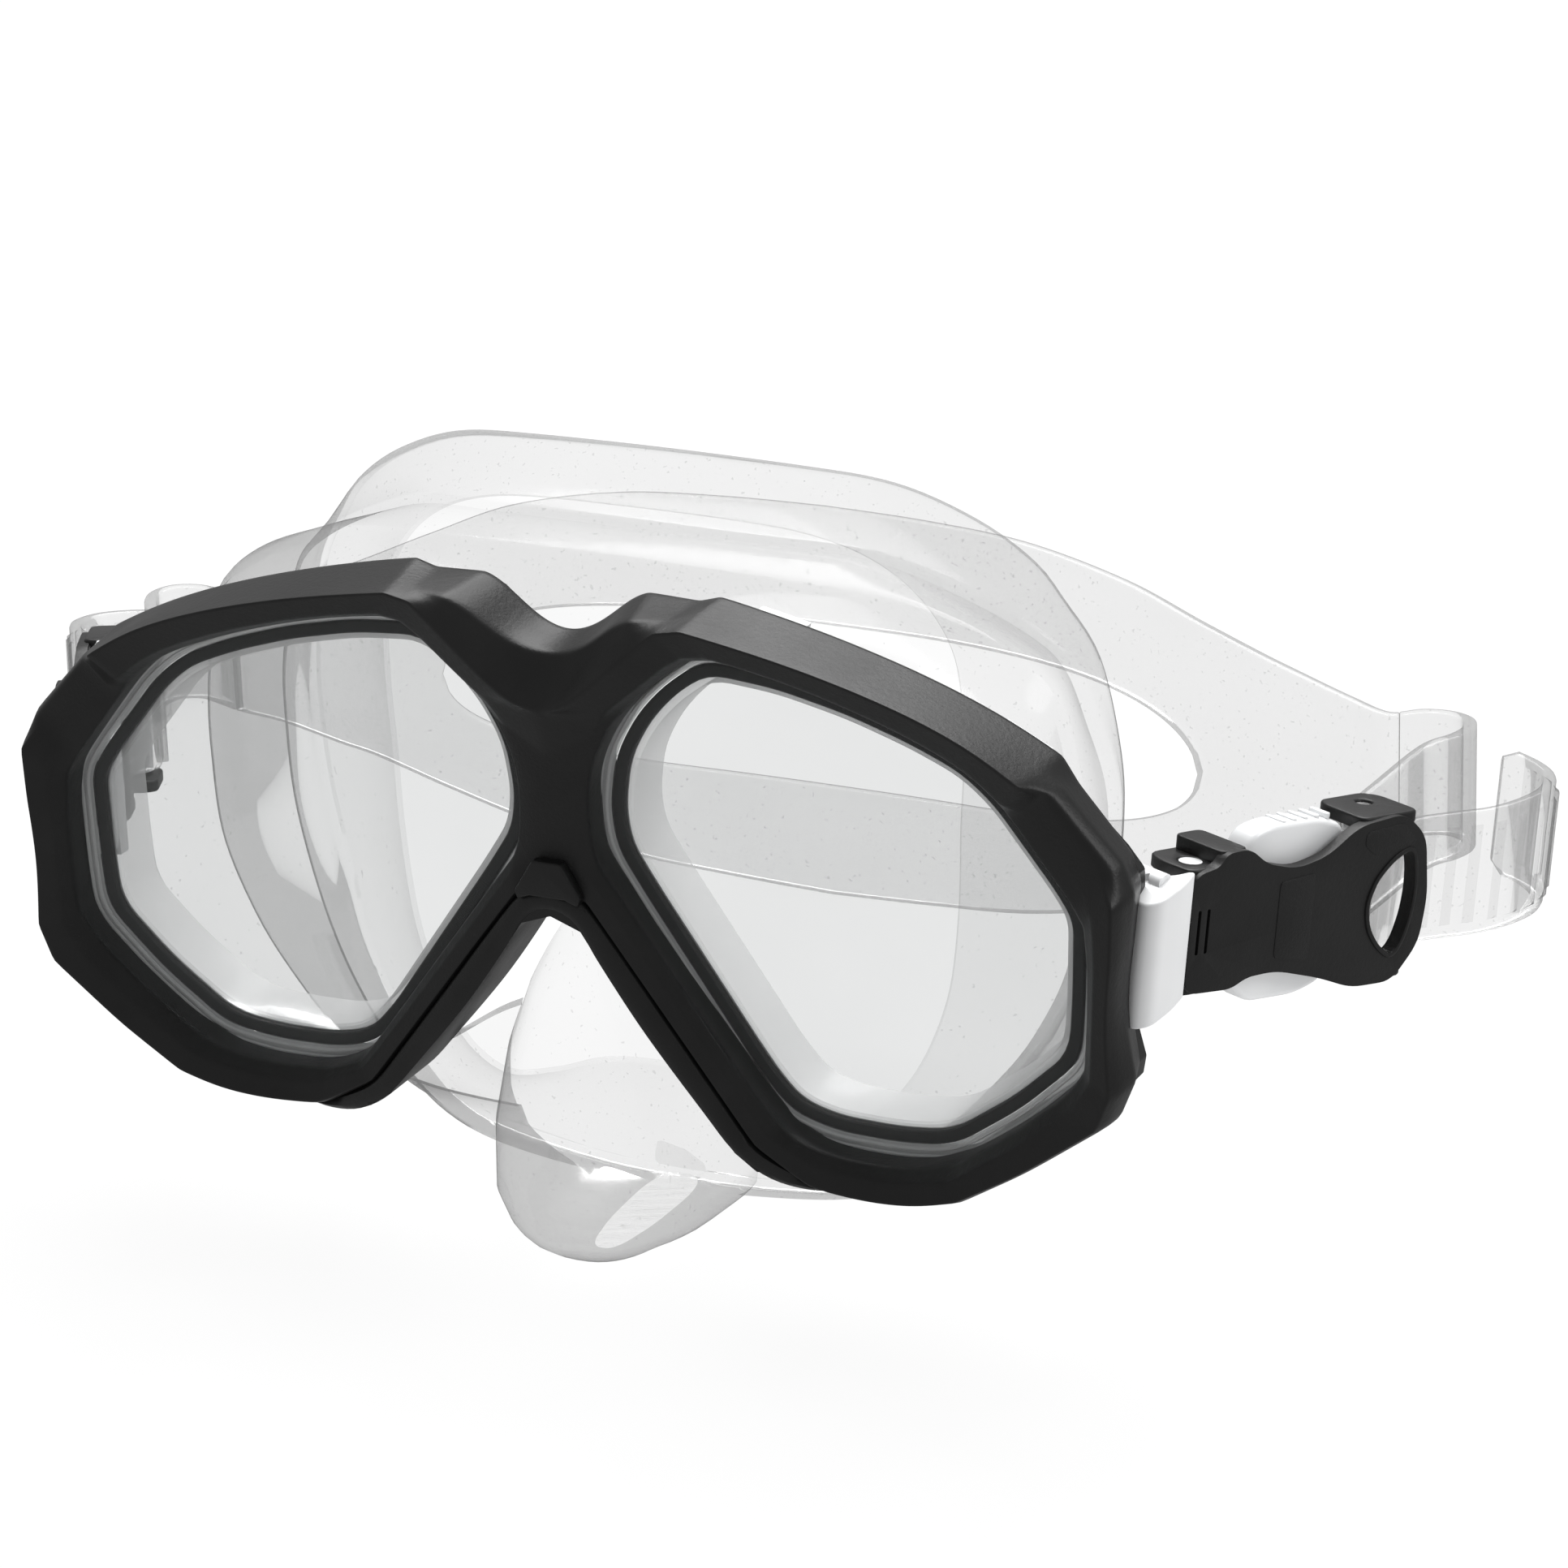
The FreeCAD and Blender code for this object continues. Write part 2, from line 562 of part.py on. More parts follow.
def strap():
    """One moulded band: wide slotted back, and at each buckle an inner run, a turn round the roller and a tail."""
    thick, half = size("band_thick"), size("band_half")
    run = [(-x, y) for x, y in reversed(BACK_RUN_HALF[1:])] + BACK_RUN_HALF
    level = -40.0
    back = ribbon(path_edges(run, 60.0, lambda x, y: Vector(x, y, level)), thick, 80.0)
    edges = mirrored(BACK_TOP + BACK_BOTTOM)
    mask = slab(edges, 6.0, 60.0, 95.0).cut(slab(SLOT_IN_STRAP, 6.0, 60.0, 95.0))
    shape = back.common(mask)
    x, y = size("roller_inward"), size("roller_along")
    turn = size("roller_radius") + 0.35 + thick / 2
    for side in SIDES.values():
        def place(u, v):
            return Vector(side * u, v, -half)
        wrap = Part.Arc(place(x - turn, y), place(x, y - turn), place(x + turn, y)).toShape()
        end = ribbon([wrap], thick, 2 * half)
        end = end.fuse(ribbon(path_edges(INNER_RUN, 4.0, place), thick, 2 * half))
        end = end.fuse(ribbon(path_edges(FREE_TAIL, 4.5, place), thick, 2 * half))
        shape = shape.fuse(buckle_to_mask(end, side))
    mask_placement(shaped("strap", shape.removeSplitter()))


# ---------------------------------------------------------------------------------------------- build
front_frame()
back_frame()
bridge_clip()
frame_latches()
skirt()
strap()
for name, side in SIDES.items():
    lens(name, side)
    lens_ring(name, side)
    buckle_bracket(name, side)
    pin(f"swivel_pin_{name}", size("pin_radius"), 0, 0, size("front_half") - 0.2, side)
    buckle_body(name, side)
    release_lever(name, side)
    pin(f"lever_pin_{name}", size("lever_pin_radius"), -1.0, size("lever_pivot"), size("front_half") - 0.6, side)
    lever_spring(name, side)
    roller(name, side)
    pin(f"roller_axle_{name}", size("axle_radius"), size("roller_inward"), size("roller_along"),
        size("rear_half") - 0.5, side)

doc.recompute()
for thing in doc.Objects:
    if "Invalid" in thing.State or "Error" in thing.State:
        raise RuntimeError(f"{thing.Label} failed: {thing.State}")
os.makedirs("parts", exist_ok=True)
for node in NODES:
    if node.Shape.isNull() or not node.Shape.isValid():
        raise RuntimeError(f"{node.Label} has no valid shape")
    node.Shape.exportStep(f"parts/{node.Label}.step")
    print(node.Label, len(node.Shape.Solids), round(node.Shape.Volume))
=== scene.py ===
"""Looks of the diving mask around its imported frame: rigid pieces, clear silicone, glass and studio.

Points are written like the part's source: x to the wearer's left, depth from the lens openings back
towards the head, z up, all in millimetres. place() turns them into the part's own frame in metres.
"""
import math

import bmesh
import bpy
import numpy as np
from mathutils import Matrix, Vector


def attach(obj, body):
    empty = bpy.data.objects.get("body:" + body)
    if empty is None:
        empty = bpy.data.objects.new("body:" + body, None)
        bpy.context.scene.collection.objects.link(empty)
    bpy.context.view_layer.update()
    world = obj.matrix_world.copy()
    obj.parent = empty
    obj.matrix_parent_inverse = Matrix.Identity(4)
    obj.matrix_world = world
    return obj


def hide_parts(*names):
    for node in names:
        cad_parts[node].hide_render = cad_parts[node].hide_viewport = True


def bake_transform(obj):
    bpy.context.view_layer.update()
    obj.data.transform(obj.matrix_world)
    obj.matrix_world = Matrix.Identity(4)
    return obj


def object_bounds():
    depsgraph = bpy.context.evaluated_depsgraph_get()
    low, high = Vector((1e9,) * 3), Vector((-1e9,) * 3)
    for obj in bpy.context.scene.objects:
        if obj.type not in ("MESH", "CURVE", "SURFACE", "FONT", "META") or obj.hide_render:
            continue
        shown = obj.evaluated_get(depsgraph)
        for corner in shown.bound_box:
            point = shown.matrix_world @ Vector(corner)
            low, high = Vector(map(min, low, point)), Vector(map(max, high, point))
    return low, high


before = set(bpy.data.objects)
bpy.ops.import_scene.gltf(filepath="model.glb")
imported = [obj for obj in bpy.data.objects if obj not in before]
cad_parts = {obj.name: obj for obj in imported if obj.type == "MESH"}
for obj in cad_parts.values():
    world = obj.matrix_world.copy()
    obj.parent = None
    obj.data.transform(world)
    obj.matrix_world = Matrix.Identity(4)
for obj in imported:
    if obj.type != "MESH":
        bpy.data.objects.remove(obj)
cad_low, cad_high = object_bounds()
SEAL_DEPTH = 47.0
SIDES = {"right": 1, "left": -1}
FINE = 2


def place(x, depth, z):
    """A point in millimetres from the lens openings, in the part's frame."""
    return Vector((x, depth - SEAL_DEPTH, z)) / 1000


# ------------------------------------------------------------------------------------------ materials
def new_material(name):
    material = bpy.data.materials.new(name)
    material.use_nodes = True
    tree = material.node_tree
    return material, tree, tree.nodes["Principled BSDF"]


def noise(tree, scale, detail=3.0, roughness=0.6):
    """Noise in the object's own space."""
    spot = tree.nodes.new("ShaderNodeTexCoord")
    node = tree.nodes.new("ShaderNodeTexNoise")
    node.inputs["Scale"].default_value = scale
    node.inputs["Detail"].default_value = detail
    node.inputs["Roughness"].default_value = roughness
    tree.links.new(spot.outputs["Object"], node.inputs["Vector"])
    return node


def ramp(tree, source, stops):
    """Colour ramp; stops are (position, grey or colour)."""
    node = tree.nodes.new("ShaderNodeValToRGB")
    elements = node.color_ramp.elements
    while len(elements) < len(stops):
        elements.new(0.5)
    for element, (position, value) in zip(elements, stops):
        element.position = position
        colour = value if isinstance(value, tuple) else (value, value, value)
        element.color = (*colour, 1.0)
    tree.links.new(source, node.inputs["Fac"])
    return node


def bump(tree, height, strength, distance):
    node = tree.nodes.new("ShaderNodeBump")
    node.inputs["Strength"].default_value = strength
    node.inputs["Distance"].default_value = distance
    tree.links.new(height, node.inputs["Height"])
    return node


def black_plastic(name, grain, strength, base=0.008, shine=0.36):
    """Black nylon: slight cloudiness in colour and gloss, and a moulded grain."""
    material, tree, shader = new_material(name)
    cloud = noise(tree, 90.0, 4.0)
    colour = ramp(tree, cloud.outputs["Fac"], [(0.3, base * 0.8), (0.7, base * 1.25)])
    gloss = ramp(tree, cloud.outputs["Fac"], [(0.3, shine), (0.75, shine + 0.1)])
    grit = noise(tree, grain, 2.0, 0.7)
    relief = bump(tree, grit.outputs["Fac"], strength, 0.00012)
    tree.links.new(colour.outputs["Color"], shader.inputs["Base Color"])
    tree.links.new(gloss.outputs["Color"], shader.inputs["Roughness"])
    tree.links.new(relief.outputs["Normal"], shader.inputs["Normal"])
    shader.inputs["Specular IOR Level"].default_value = 0.3
    return material


def white_plastic():
    """Glossy white moulding with faint flow marks."""
    material, tree, shader = new_material("white_plastic")
    cloud = noise(tree, 60.0)
    colour = ramp(tree, cloud.outputs["Fac"],
                  [(0.3, (0.80, 0.81, 0.82)), (0.7, (0.87, 0.875, 0.88))])
    gloss = ramp(tree, cloud.outputs["Fac"], [(0.3, 0.2), (0.8, 0.3)])
    grit = noise(tree, 900.0)
    relief = bump(tree, grit.outputs["Fac"], 0.08, 0.0001)
    tree.links.new(colour.outputs["Color"], shader.inputs["Base Color"])
    tree.links.new(gloss.outputs["Color"], shader.inputs["Roughness"])
    tree.links.new(relief.outputs["Normal"], shader.inputs["Normal"])
    shader.inputs["Coat Weight"].default_value = 0.25
    shader.inputs["Coat Roughness"].default_value = 0.08
    return material


def steel():
    """Drawn stainless steel."""
    material, tree, shader = new_material("steel")
    cloud = noise(tree, 400.0)
    colour = ramp(tree, cloud.outputs["Fac"], [(0.3, 0.52), (0.7, 0.68)])
    gloss = ramp(tree, cloud.outputs["Fac"], [(0.3, 0.22), (0.7, 0.36)])
    tree.links.new(colour.outputs["Color"], shader.inputs["Base Color"])
    tree.links.new(gloss.outputs["Color"], shader.inputs["Roughness"])
    shader.inputs["Metallic"].default_value = 1.0
    return material


def silicone(name, through, veil, tint):
    """Clear silicone as a thin wall: through lists how much it lets pass face on, then towards its edges."""
    material, tree, shader = new_material(name)
    cloud = noise(tree, 45.0, 4.0)
    dust = noise(tree, 1400.0, 1.0)
    colour = ramp(tree, cloud.outputs["Fac"], [(0.3, tint * 0.92), (0.7, tint)])
    gloss = ramp(tree, cloud.outputs["Fac"], [(0.35, 0.1), (0.7, 0.2)])
    ripple = bump(tree, cloud.outputs["Fac"], 0.2, 0.0008)
    specks = ramp(tree, dust.outputs["Fac"], [(0.24, 0.85), (0.3, 1.0)])
    facing = tree.nodes.new("ShaderNodeLayerWeight")
    facing.inputs["Blend"].default_value = 0.5
    tree.links.new(ripple.outputs["Normal"], facing.inputs["Normal"])
    passed = ramp(tree, facing.outputs["Facing"], through)
    dim = tree.nodes.new("ShaderNodeMix")
    dim.data_type = "RGBA"
    dim.blend_type = "MULTIPLY"
    dim.inputs["Factor"].default_value = 1.0
    clear = tree.nodes.new("ShaderNodeBsdfTransparent")
    tree.links.new(passed.outputs["Color"], dim.inputs[6])
    tree.links.new(specks.outputs["Color"], dim.inputs[7])
    tree.links.new(dim.outputs[2], clear.inputs["Color"])
    body = tree.nodes.new("ShaderNodeMixShader")
    body.inputs[0].default_value = veil
    tree.links.new(clear.outputs["BSDF"], body.inputs[1])
    tree.links.new(shader.outputs["BSDF"], body.inputs[2])
    sheen = tree.nodes.new("ShaderNodeBsdfGlossy")
    fresnel = tree.nodes.new("ShaderNodeFresnel")
    fresnel.inputs["IOR"].default_value = 1.4
    share = ramp(tree, fresnel.outputs["Fac"], [(0.0, 0.0), (1.0, 0.5)])
    whole = tree.nodes.new("ShaderNodeMixShader")
    tree.links.new(gloss.outputs["Color"], sheen.inputs["Roughness"])
    tree.links.new(ripple.outputs["Normal"], sheen.inputs["Normal"])
    tree.links.new(share.outputs["Color"], whole.inputs[0])
    tree.links.new(body.outputs["Shader"], whole.inputs[1])
    tree.links.new(sheen.outputs["BSDF"], whole.inputs[2])
    tree.links.new(whole.outputs["Shader"], tree.nodes["Material Output"].inputs["Surface"])
    tree.links.new(colour.outputs["Color"], shader.inputs["Base Color"])
    tree.links.new(ripple.outputs["Normal"], shader.inputs["Normal"])
    shader.inputs["Roughness"].default_value = 0.45
    shader.inputs["Specular IOR Level"].default_value = 0.2
    return material


def lens_glass():
    """Flat tempered glass with a faint reflection."""
    material, tree, shader = new_material("lens_glass")
    clear = tree.nodes.new("ShaderNodeBsdfTransparent")
    haze = noise(tree, 30.0)
    tone = ramp(tree, haze.outputs["Fac"],
                [(0.3, (0.87, 0.874, 0.874)), (0.7, (0.885, 0.888, 0.888))])
    tree.links.new(tone.outputs["Color"], clear.inputs["Color"])
    fresnel = tree.nodes.new("ShaderNodeFresnel")
    fresnel.inputs["IOR"].default_value = 1.3
    mix = tree.nodes.new("ShaderNodeMixShader")
    tree.links.new(fresnel.outputs["Fac"], mix.inputs[0])
    tree.links.new(clear.outputs["BSDF"], mix.inputs[1])
    tree.links.new(shader.outputs["BSDF"], mix.inputs[2])
    tree.links.new(mix.outputs["Shader"], tree.nodes["Material Output"].inputs["Surface"])
    shader.inputs["Base Color"].default_value = (0.82, 0.84, 0.84, 1)
    shader.inputs["Roughness"].default_value = 0.03
    return material


BLACK = black_plastic("black_plastic", 1300.0, 0.35)
GRAIN = black_plastic("black_grain", 1900.0, 0.85, 0.009, 0.5)
WHITE = white_plastic()
STEEL = steel()
CLEAR = silicone("clear_silicone", [(0.0, 0.93), (0.55, 0.92), (0.86, 0.84), (1.0, 0.6)], 0.05, 0.85)
STRAP = silicone("strap_silicone", [(0.0, 0.94), (0.6, 0.935), (0.9, 0.9), (1.0, 0.74)], 0.06, 0.9)
# darker copy of the strap silicone for the faces of the strap's ribs: painted shade that makes the ribs stand
# out
RIB_SHADE = silicone("rib_painted_shade_silicone", [(0.0, 0.86), (0.6, 0.84), (1.0, 0.62)], 0.08, 0.8)
FLANGE = silicone("flange_silicone", [(0.0, 0.75), (0.6, 0.7), (1.0, 0.5)], 0.62, 0.85)
# near-white, partly opaque copy of the clear silicone for the lens collars and the flange threads: painted
# highlight
PAINTED_HIGHLIGHT = silicone("painted_highlight_silicone", [(0.0, 0.9), (0.5, 0.8), (1.0, 0.55)], 0.45, 0.98)
GLASS = lens_glass()


# --------------------------------------------------------------------------------------- mesh helpers
def make_piece(name, points, faces, materials, slots=None):
    """Mesh object from points in metres."""
    data = bpy.data.meshes.new(name)
    data.from_pydata([tuple(p) for p in points], [], faces)
    data.validate()
    piece = bpy.data.objects.new(name, data)
    bpy.context.scene.collection.objects.link(piece)
    for material in materials:
        data.materials.append(material)
    if slots:
        for face, slot in zip(data.polygons, slots):
            face.material_index = slot
    return piece


def tidy(piece, merge=1e-6):
    """Welds doubles and turns every face outwards."""
    work = bmesh.new()
    work.from_mesh(piece.data)
    bmesh.ops.remove_doubles(work, verts=work.verts, dist=merge)
    bmesh.ops.recalc_face_normals(work, faces=work.faces)
    work.to_mesh(piece.data)
    work.free()


def bake(piece, smooth_angle=None):
    """Replaces the mesh by its modified form and shades it smooth."""
    graph = bpy.context.evaluated_depsgraph_get()
    data = bpy.data.meshes.new_from_object(piece.evaluated_get(graph))
    piece.modifiers.clear()
    piece.data = data
    for face in data.polygons:
        face.use_smooth = True
    if smooth_angle is not None:
        data.set_sharp_from_angle(angle=math.radians(smooth_angle))
    return piece


def subdivide(piece, levels):
    modifier = piece.modifiers.new("Subdivision", "SUBSURF")
    modifier.levels = modifier.render_levels = levels
    modifier.boundary_smooth = "PRESERVE_CORNERS"


def bevel(piece, width, segments=3, angle=30):
    modifier = piece.modifiers.new("Bevel", "BEVEL")
    modifier.width = width / 1000
    modifier.segments = segments
    modifier.limit_method = "ANGLE"
    modifier.angle_limit = math.radians(angle)
    modifier.harden_normals = False


def smooth_loop(points, count, closed=True):
    """Evenly spaced points on a Catmull-Rom curve through points of any dimension."""
    points = np.array(points, float)
    total = len(points)
    fine = []
    for i in range(total if closed else total - 1):
        if closed:
            a, b, c, d = (points[(i + k) % total] for k in (-1, 0, 1, 2))
        else:
            a, b, c, d = (points[min(max(i + k, 0), total - 1)] for k in (-1, 0, 1, 2))
        for t in np.linspace(0, 1, 24, endpoint=False):
            fine.append(0.5 * ((2 * b) + (c - a) * t + (2 * a - 5 * b + 4 * c - d) * t * t
                               + (3 * b - a - 3 * c + d) * t ** 3))
    fine.append(points[0] if closed else points[-1])
    fine = np.array(fine)
    length = np.concatenate([[0], np.cumsum(np.linalg.norm(np.diff(fine, axis=0), axis=1))])
    spots = np.linspace(0, length[-1], count, endpoint=not closed)
    return np.stack([np.interp(spots, length, fine[:, k]) for k in range(fine.shape[1])], axis=1)


def rounded_loop(points, radius, steps=5):
    """Closed outline with its corners rounded, the same number of points for each corner."""
    points = np.array(points, float)
    loop = []
    for i, corner in enumerate(points):
        u = points[i - 1] - corner
        v = points[(i + 1) % len(points)] - corner
        lu, lv = np.linalg.norm(u), np.linalg.norm(v)
        reach = min(radius, 0.45 * lu, 0.45 * lv)
        a, b = corner + u / lu * reach, corner + v / lv * reach
        for t in np.linspace(0, 1, steps):
            loop.append((1 - t) ** 2 * a + 2 * t * (1 - t) * corner + t * t * b)
    return np.array(loop)


def inset(points, amount):
    """Outline moved inwards corner by corner; outwards where amount is negative."""
    points = np.array(points, float)
    after = np.roll(points, -1, axis=0)
    area = np.sum(points[:, 0] * after[:, 1] - after[:, 0] * points[:, 1])
    moved = []
    for i, corner in enumerate(points):
        a, b = corner - points[i - 1], after[i] - corner
        normal = (np.array([-a[1], a[0]]) / np.linalg.norm(a) + np.array([-b[1], b[0]]) / np.linalg.norm(b))
        normal = normal * math.copysign(1.0, area)
        moved.append(corner + normal * 2 * amount / max(float(normal @ normal), 1.2))
    return np.array(moved)


def ring_faces(count, rings, closed=True, first=0):
    """Quads between rings of points that follow each other in the list."""
    faces = []
    for r in range(rings - 1):
        for i in range(count if closed else count - 1):
            j = (i + 1) % count
            a = first + r * count
            faces.append((a + i, a + j, a + count + j, a + count + i))
    return faces


def loft(name, rings, materials, closed=True, cap=False, slots=None):
    """Skin through rings of equal length; cap closes both ends."""
    count = len(rings[0])
    points = [p for ring in rings for p in ring]
    faces = ring_faces(count, len(rings), closed)
    if cap:
        faces.append(tuple(range(count)))
        faces.append(tuple(range(len(points) - count, len(points))))
    piece = make_piece(name, points, faces, materials, slots)
    tidy(piece)
    return piece


def plate(name, outline, low, high, turn, material, holes=(), width=0.5, segments=3):
    """Flat plate: outlines in a plane, thickness from low to high, edges rounded; turn places its points."""
    work = bmesh.new()
    loops = []
    for loop in (outline, *holes):
        spots = [work.verts.new((p[0], p[1], 0)) for p in loop]
        loops += [work.edges.new((spots[i], spots[(i + 1) % len(spots)])) for i in range(len(spots))]
    bmesh.ops.triangle_fill(work, use_beauty=True, use_dissolve=False, edges=loops)
    bmesh.ops.dissolve_limit(work, angle_limit=0.001, verts=work.verts, edges=work.edges)
    grown = bmesh.ops.extrude_face_region(work, geom=work.faces[:])
    for spot in grown["geom"]:
        if isinstance(spot, bmesh.types.BMVert):
            spot.co.z = 1.0
    for spot in work.verts:
        level = high if spot.co.z > 0.5 else low
        spot.co = turn(spot.co.x, spot.co.y, level)
    bmesh.ops.recalc_face_normals(work, faces=work.faces)
    data = bpy.data.meshes.new(name)
    work.to_mesh(data)
    work.free()
    piece = bpy.data.objects.new(name, data)
    bpy.context.scene.collection.objects.link(piece)
    data.materials.append(material)
    if width:
        bevel(piece, width, segments)
    bake(piece, 35)
    return piece


def join(name, pieces):
    """One object from several."""
    work = bmesh.new()
    materials = []
    for piece in pieces:
        data = piece.data
        for material in data.materials:
            if material not in materials:
                materials.append(material)
        where = [materials.index(m) for m in data.materials]
        for face in data.polygons:
            face.material_index = where[face.material_index]
        work.from_mesh(data)
    data = bpy.data.meshes.new(name)
    work.to_mesh(data)
    work.free()
    for material in materials:
        data.materials.append(material)
    for piece in pieces:
        bpy.data.objects.remove(piece)
    whole = bpy.data.objects.new(name, data)
    bpy.context.scene.collection.objects.link(whole)
    for face in data.polygons:
        face.use_smooth = True
    data.set_sharp_from_angle(angle=math.radians(38))
    return whole


# ---------------------------------------------------------------------------------------- front frame
# stations clockwise from the middle: lens opening (x, z); crest (x, z, depth); back of the outer wall
# (x, z, depth) or None; two points of the outer wall where it bulges, or None; share of the lip between
# opening and crest
STATIONS = [
    ((10.4, 25.9), (0, 26.1, -3.0), (0, 33.9, 7), [(0, 29.3, -0.9), (0, 33.2, -0.2)], 0.22),
    ((12.0, 27.8), (3.6, 26.9, -3.9), (4.5, 35.6, 7), [(5.0, 31.0, -1.9), (5.4, 34.3, -0.6)], 0.22),
    ((15.5, 30.8), (10.7, 33.1, -4.1), (9.4, 40.0, 7), [(10.2, 36.6, -2.6), (10.4, 38.9, -1.8)], 0.22),
    ((18.4, 33.2), (14.6, 36.6, -4.15), (12.0, 41.0, 7), [(13.9, 38.9, -3.2), (13.6, 40.2, -2.2)], 0.22),
    ((21.2, 34.9), (17.8, 39.5, -4.2), (19.4, 40.7, 7), [(18.0, 40.0, -3.4), (18.6, 40.4, -0.6)], 0.22),
    ((24.5, 35.3), (21.5, 40.3, -4.1), (22.4, 41.6, 7), None, 0.22),
    ((31.0, 34.4), (27.0, 39.4, -4.0), (27.5, 40.7, 7), None, 0.22),
    ((40.0, 32.4), (38.0, 37.4, -4.0), (38.5, 38.3, 7), None, 0.22),
    ((51.0, 28.9), (51.0, 34.0, -4.0), (51.5, 34.6, 7), None, 0.22),
    ((60.0, 25.0), (61.5, 30.0, -4.0), (62.5, 30.3, 7), None, 0.22),
    ((64.3, 20.9), (68.4, 25.4, -3.8), (70.2, 26.1, 7), None, 0.22),
    ((66.4, 18.3), (70.2, 22.9, -0.4), (72.4, 22.6, 7), [(71.6, 23.4, -0.4), (72.3, 23.4, 2)], 0.45),
    ((73.6, 9.0), (78.2, 13.6, -0.4), (79.6, 14.2, 7), [(79.6, 14.4, -0.4), (80.3, 14.6, 2)], 0.45),
    ((75.5, 5.8), (80.6, 10.0, -3.0), (80.8, 10.6, 7), [(81.4, 10.2, -1.2), (82.0, 10.6, 2)], 0.4),
    ((75.9, 0.0), (80.3, 2.6, -3.0), (79.9, 2.2, 7), [(81.0, 2.6, -1.2), (81.2, 2.4, 2)], 0.4),
    ((75.8, -8.0), (79.4, -6.5, -3.0), (78.8, -5.5, 7), [(80.0, -6.0, -1.2), (80.1, -5.5, 2)], 0.4),
    ((75.3, -14.6), (80.0, -16.0, -3.0), (80.4, -14.6, 7), [(81.2, -15.6, -1.2), (81.9, -15.0, 2)], 0.35),
    ((72.0, -18.8), (77.9, -21.0, -3.1), (78.2, -20.2, 7), [(79.0, -21.0, -1.2), (79.6, -20.6, 2)], 0.35),
    ((65.2, -24.6), (67.5, -28.6, -3.5), (67.0, -28.8, 7), [(67.7, -29.3, -1.4), (67.5, -29.6, 2)], 0.35),
    ((56.6, -30.8), (58.4, -34.0, -3.8), (58.0, -34.2, 7), [(58.7, -34.9, -1.6), (58.6, -35.0, 2)], 0.35),
    ((50.0, -32.3), (52.0, -35.9, -3.7), (52.0, -35.9, 7), [(52.0, -36.6, -1.6), (52.0, -36.8, 2)], 0.35),
    ((44.0, -32.6), (44.0, -36.4, -3.2), (44.0, -36.6, 7), [(44.0, -37.1, -1.6), (44.0, -37.3, 2)], 0.35),
    ((37.4, -32.1), (37.0, -35.9, -2.6), (37.0, -36.2, 4.6), [(36.9, -36.7, -1.4), (36.8, -36.8, 2)], 0.35),
    ((31.6, -30.0), (28.9, -31.5, -2.1), (28.5, -32.0, 4.6), [(28.5, -31.9, -1.2), (28.4, -32.0, 2)], 0.35),
    ((24.0, -19.9), (20.9, -20.9, -2.0), (20.5, -21.4, 4.6), [(20.5, -21.3, -1.1), (20.4, -21.4, 2)], 0.4),
    ((12.0, -3.6), (9.5, -5.8, -2.0), (9.1, -6.3, 4.6), [(9.1, -6.2, -1.1), (9.0, -6.3, 2)], 0.4),
    ((6.4, 3.8), (5.2, -0.2, -1.9), (4.9, -0.9, 4.6), [(4.9, -0.8, -1.1), (4.9, -0.9, 2)], 0.4),
    ((5.4, 6.4), (0, -0.2, -1.5), (0, -0.9, 4.6), [(0, -0.8, -1.0), (0, -0.9, 2)], 0.4),
    ((5.0, 11.5), (0, 6.0, -1.1), None, None, 0.3),
    ((5.3, 17.6), (0, 13.5, -1.2), None, None, 0.3),
    ((8.4, 23.6), (0, 19.5, -1.3), None, None, 0.25),
]
SEAT_DEPTH = 4.6
WALL = 1.4
MID_WALL = 1.2
CREASE_OF = {"seat": 1.0, "edge": 0.75, "lip": 0.55, "crest": 0.82, "shoulder": 0.0, "wall": 0.5,
             "back": 0.8, "inside": 0.8, "inner": 0.8}
CORNER_CREASE = {3: 0.5, 4: 0.7, 5: 0.7, 10: 0.9, 11: 0.85, 12: 0.85, 13: 0.9, 14: 0.4, 16: 0.75, 17: 0.75,
                 18: 0.35, 19: 0.75, 22: 0.4, 23: 0.6, 26: 0.7}
PAD_STATION = 11
BRIDGE_STATIONS = (27, 28, 29)
NOTCH_STATION = 30
NOTCH_CREASE = 0.7


def station_points(opening, crest, back, middle, share):
    """Profile of the frame at one station, from the lens seat over the crest to the outer wall's back."""
    (ox, oz), (cx, cz, cd) = opening, crest
    lip = (ox + (cx - ox) * share, 0.52 * cd if share < 0.3 else 0.62 * cd, oz + (cz - oz) * share)
    points = {"seat": (ox, SEAT_DEPTH, oz), "edge": (ox, 0.1, oz), "lip": lip, "crest": (cx, cd, cz),
              "inner": (cx, SEAT_DEPTH, cz)}
    if back:
        bx, bz, bd = back
        if not middle:
            middle = [tuple(c + (b - c) * t for c, b in zip(crest, back)) for t in (0.16, 0.55)]
        for label, (mx, mz, md) in zip(("shoulder", "wall"), middle):
            points[label] = (mx, md, mz)
        length = math.hypot(ox - bx, oz - bz)
        ix, iz = bx + (ox - bx) / length * WALL, bz + (oz - bz) / length * WALL
        if bx == 0:
            ix, iz = 0, bz + math.copysign(MID_WALL, oz - bz)
        points["back"] = (bx, bd, bz)
        points["inside"] = (ix, bd, iz)
        points["inner"] = (ix, SEAT_DEPTH, iz)
    return points


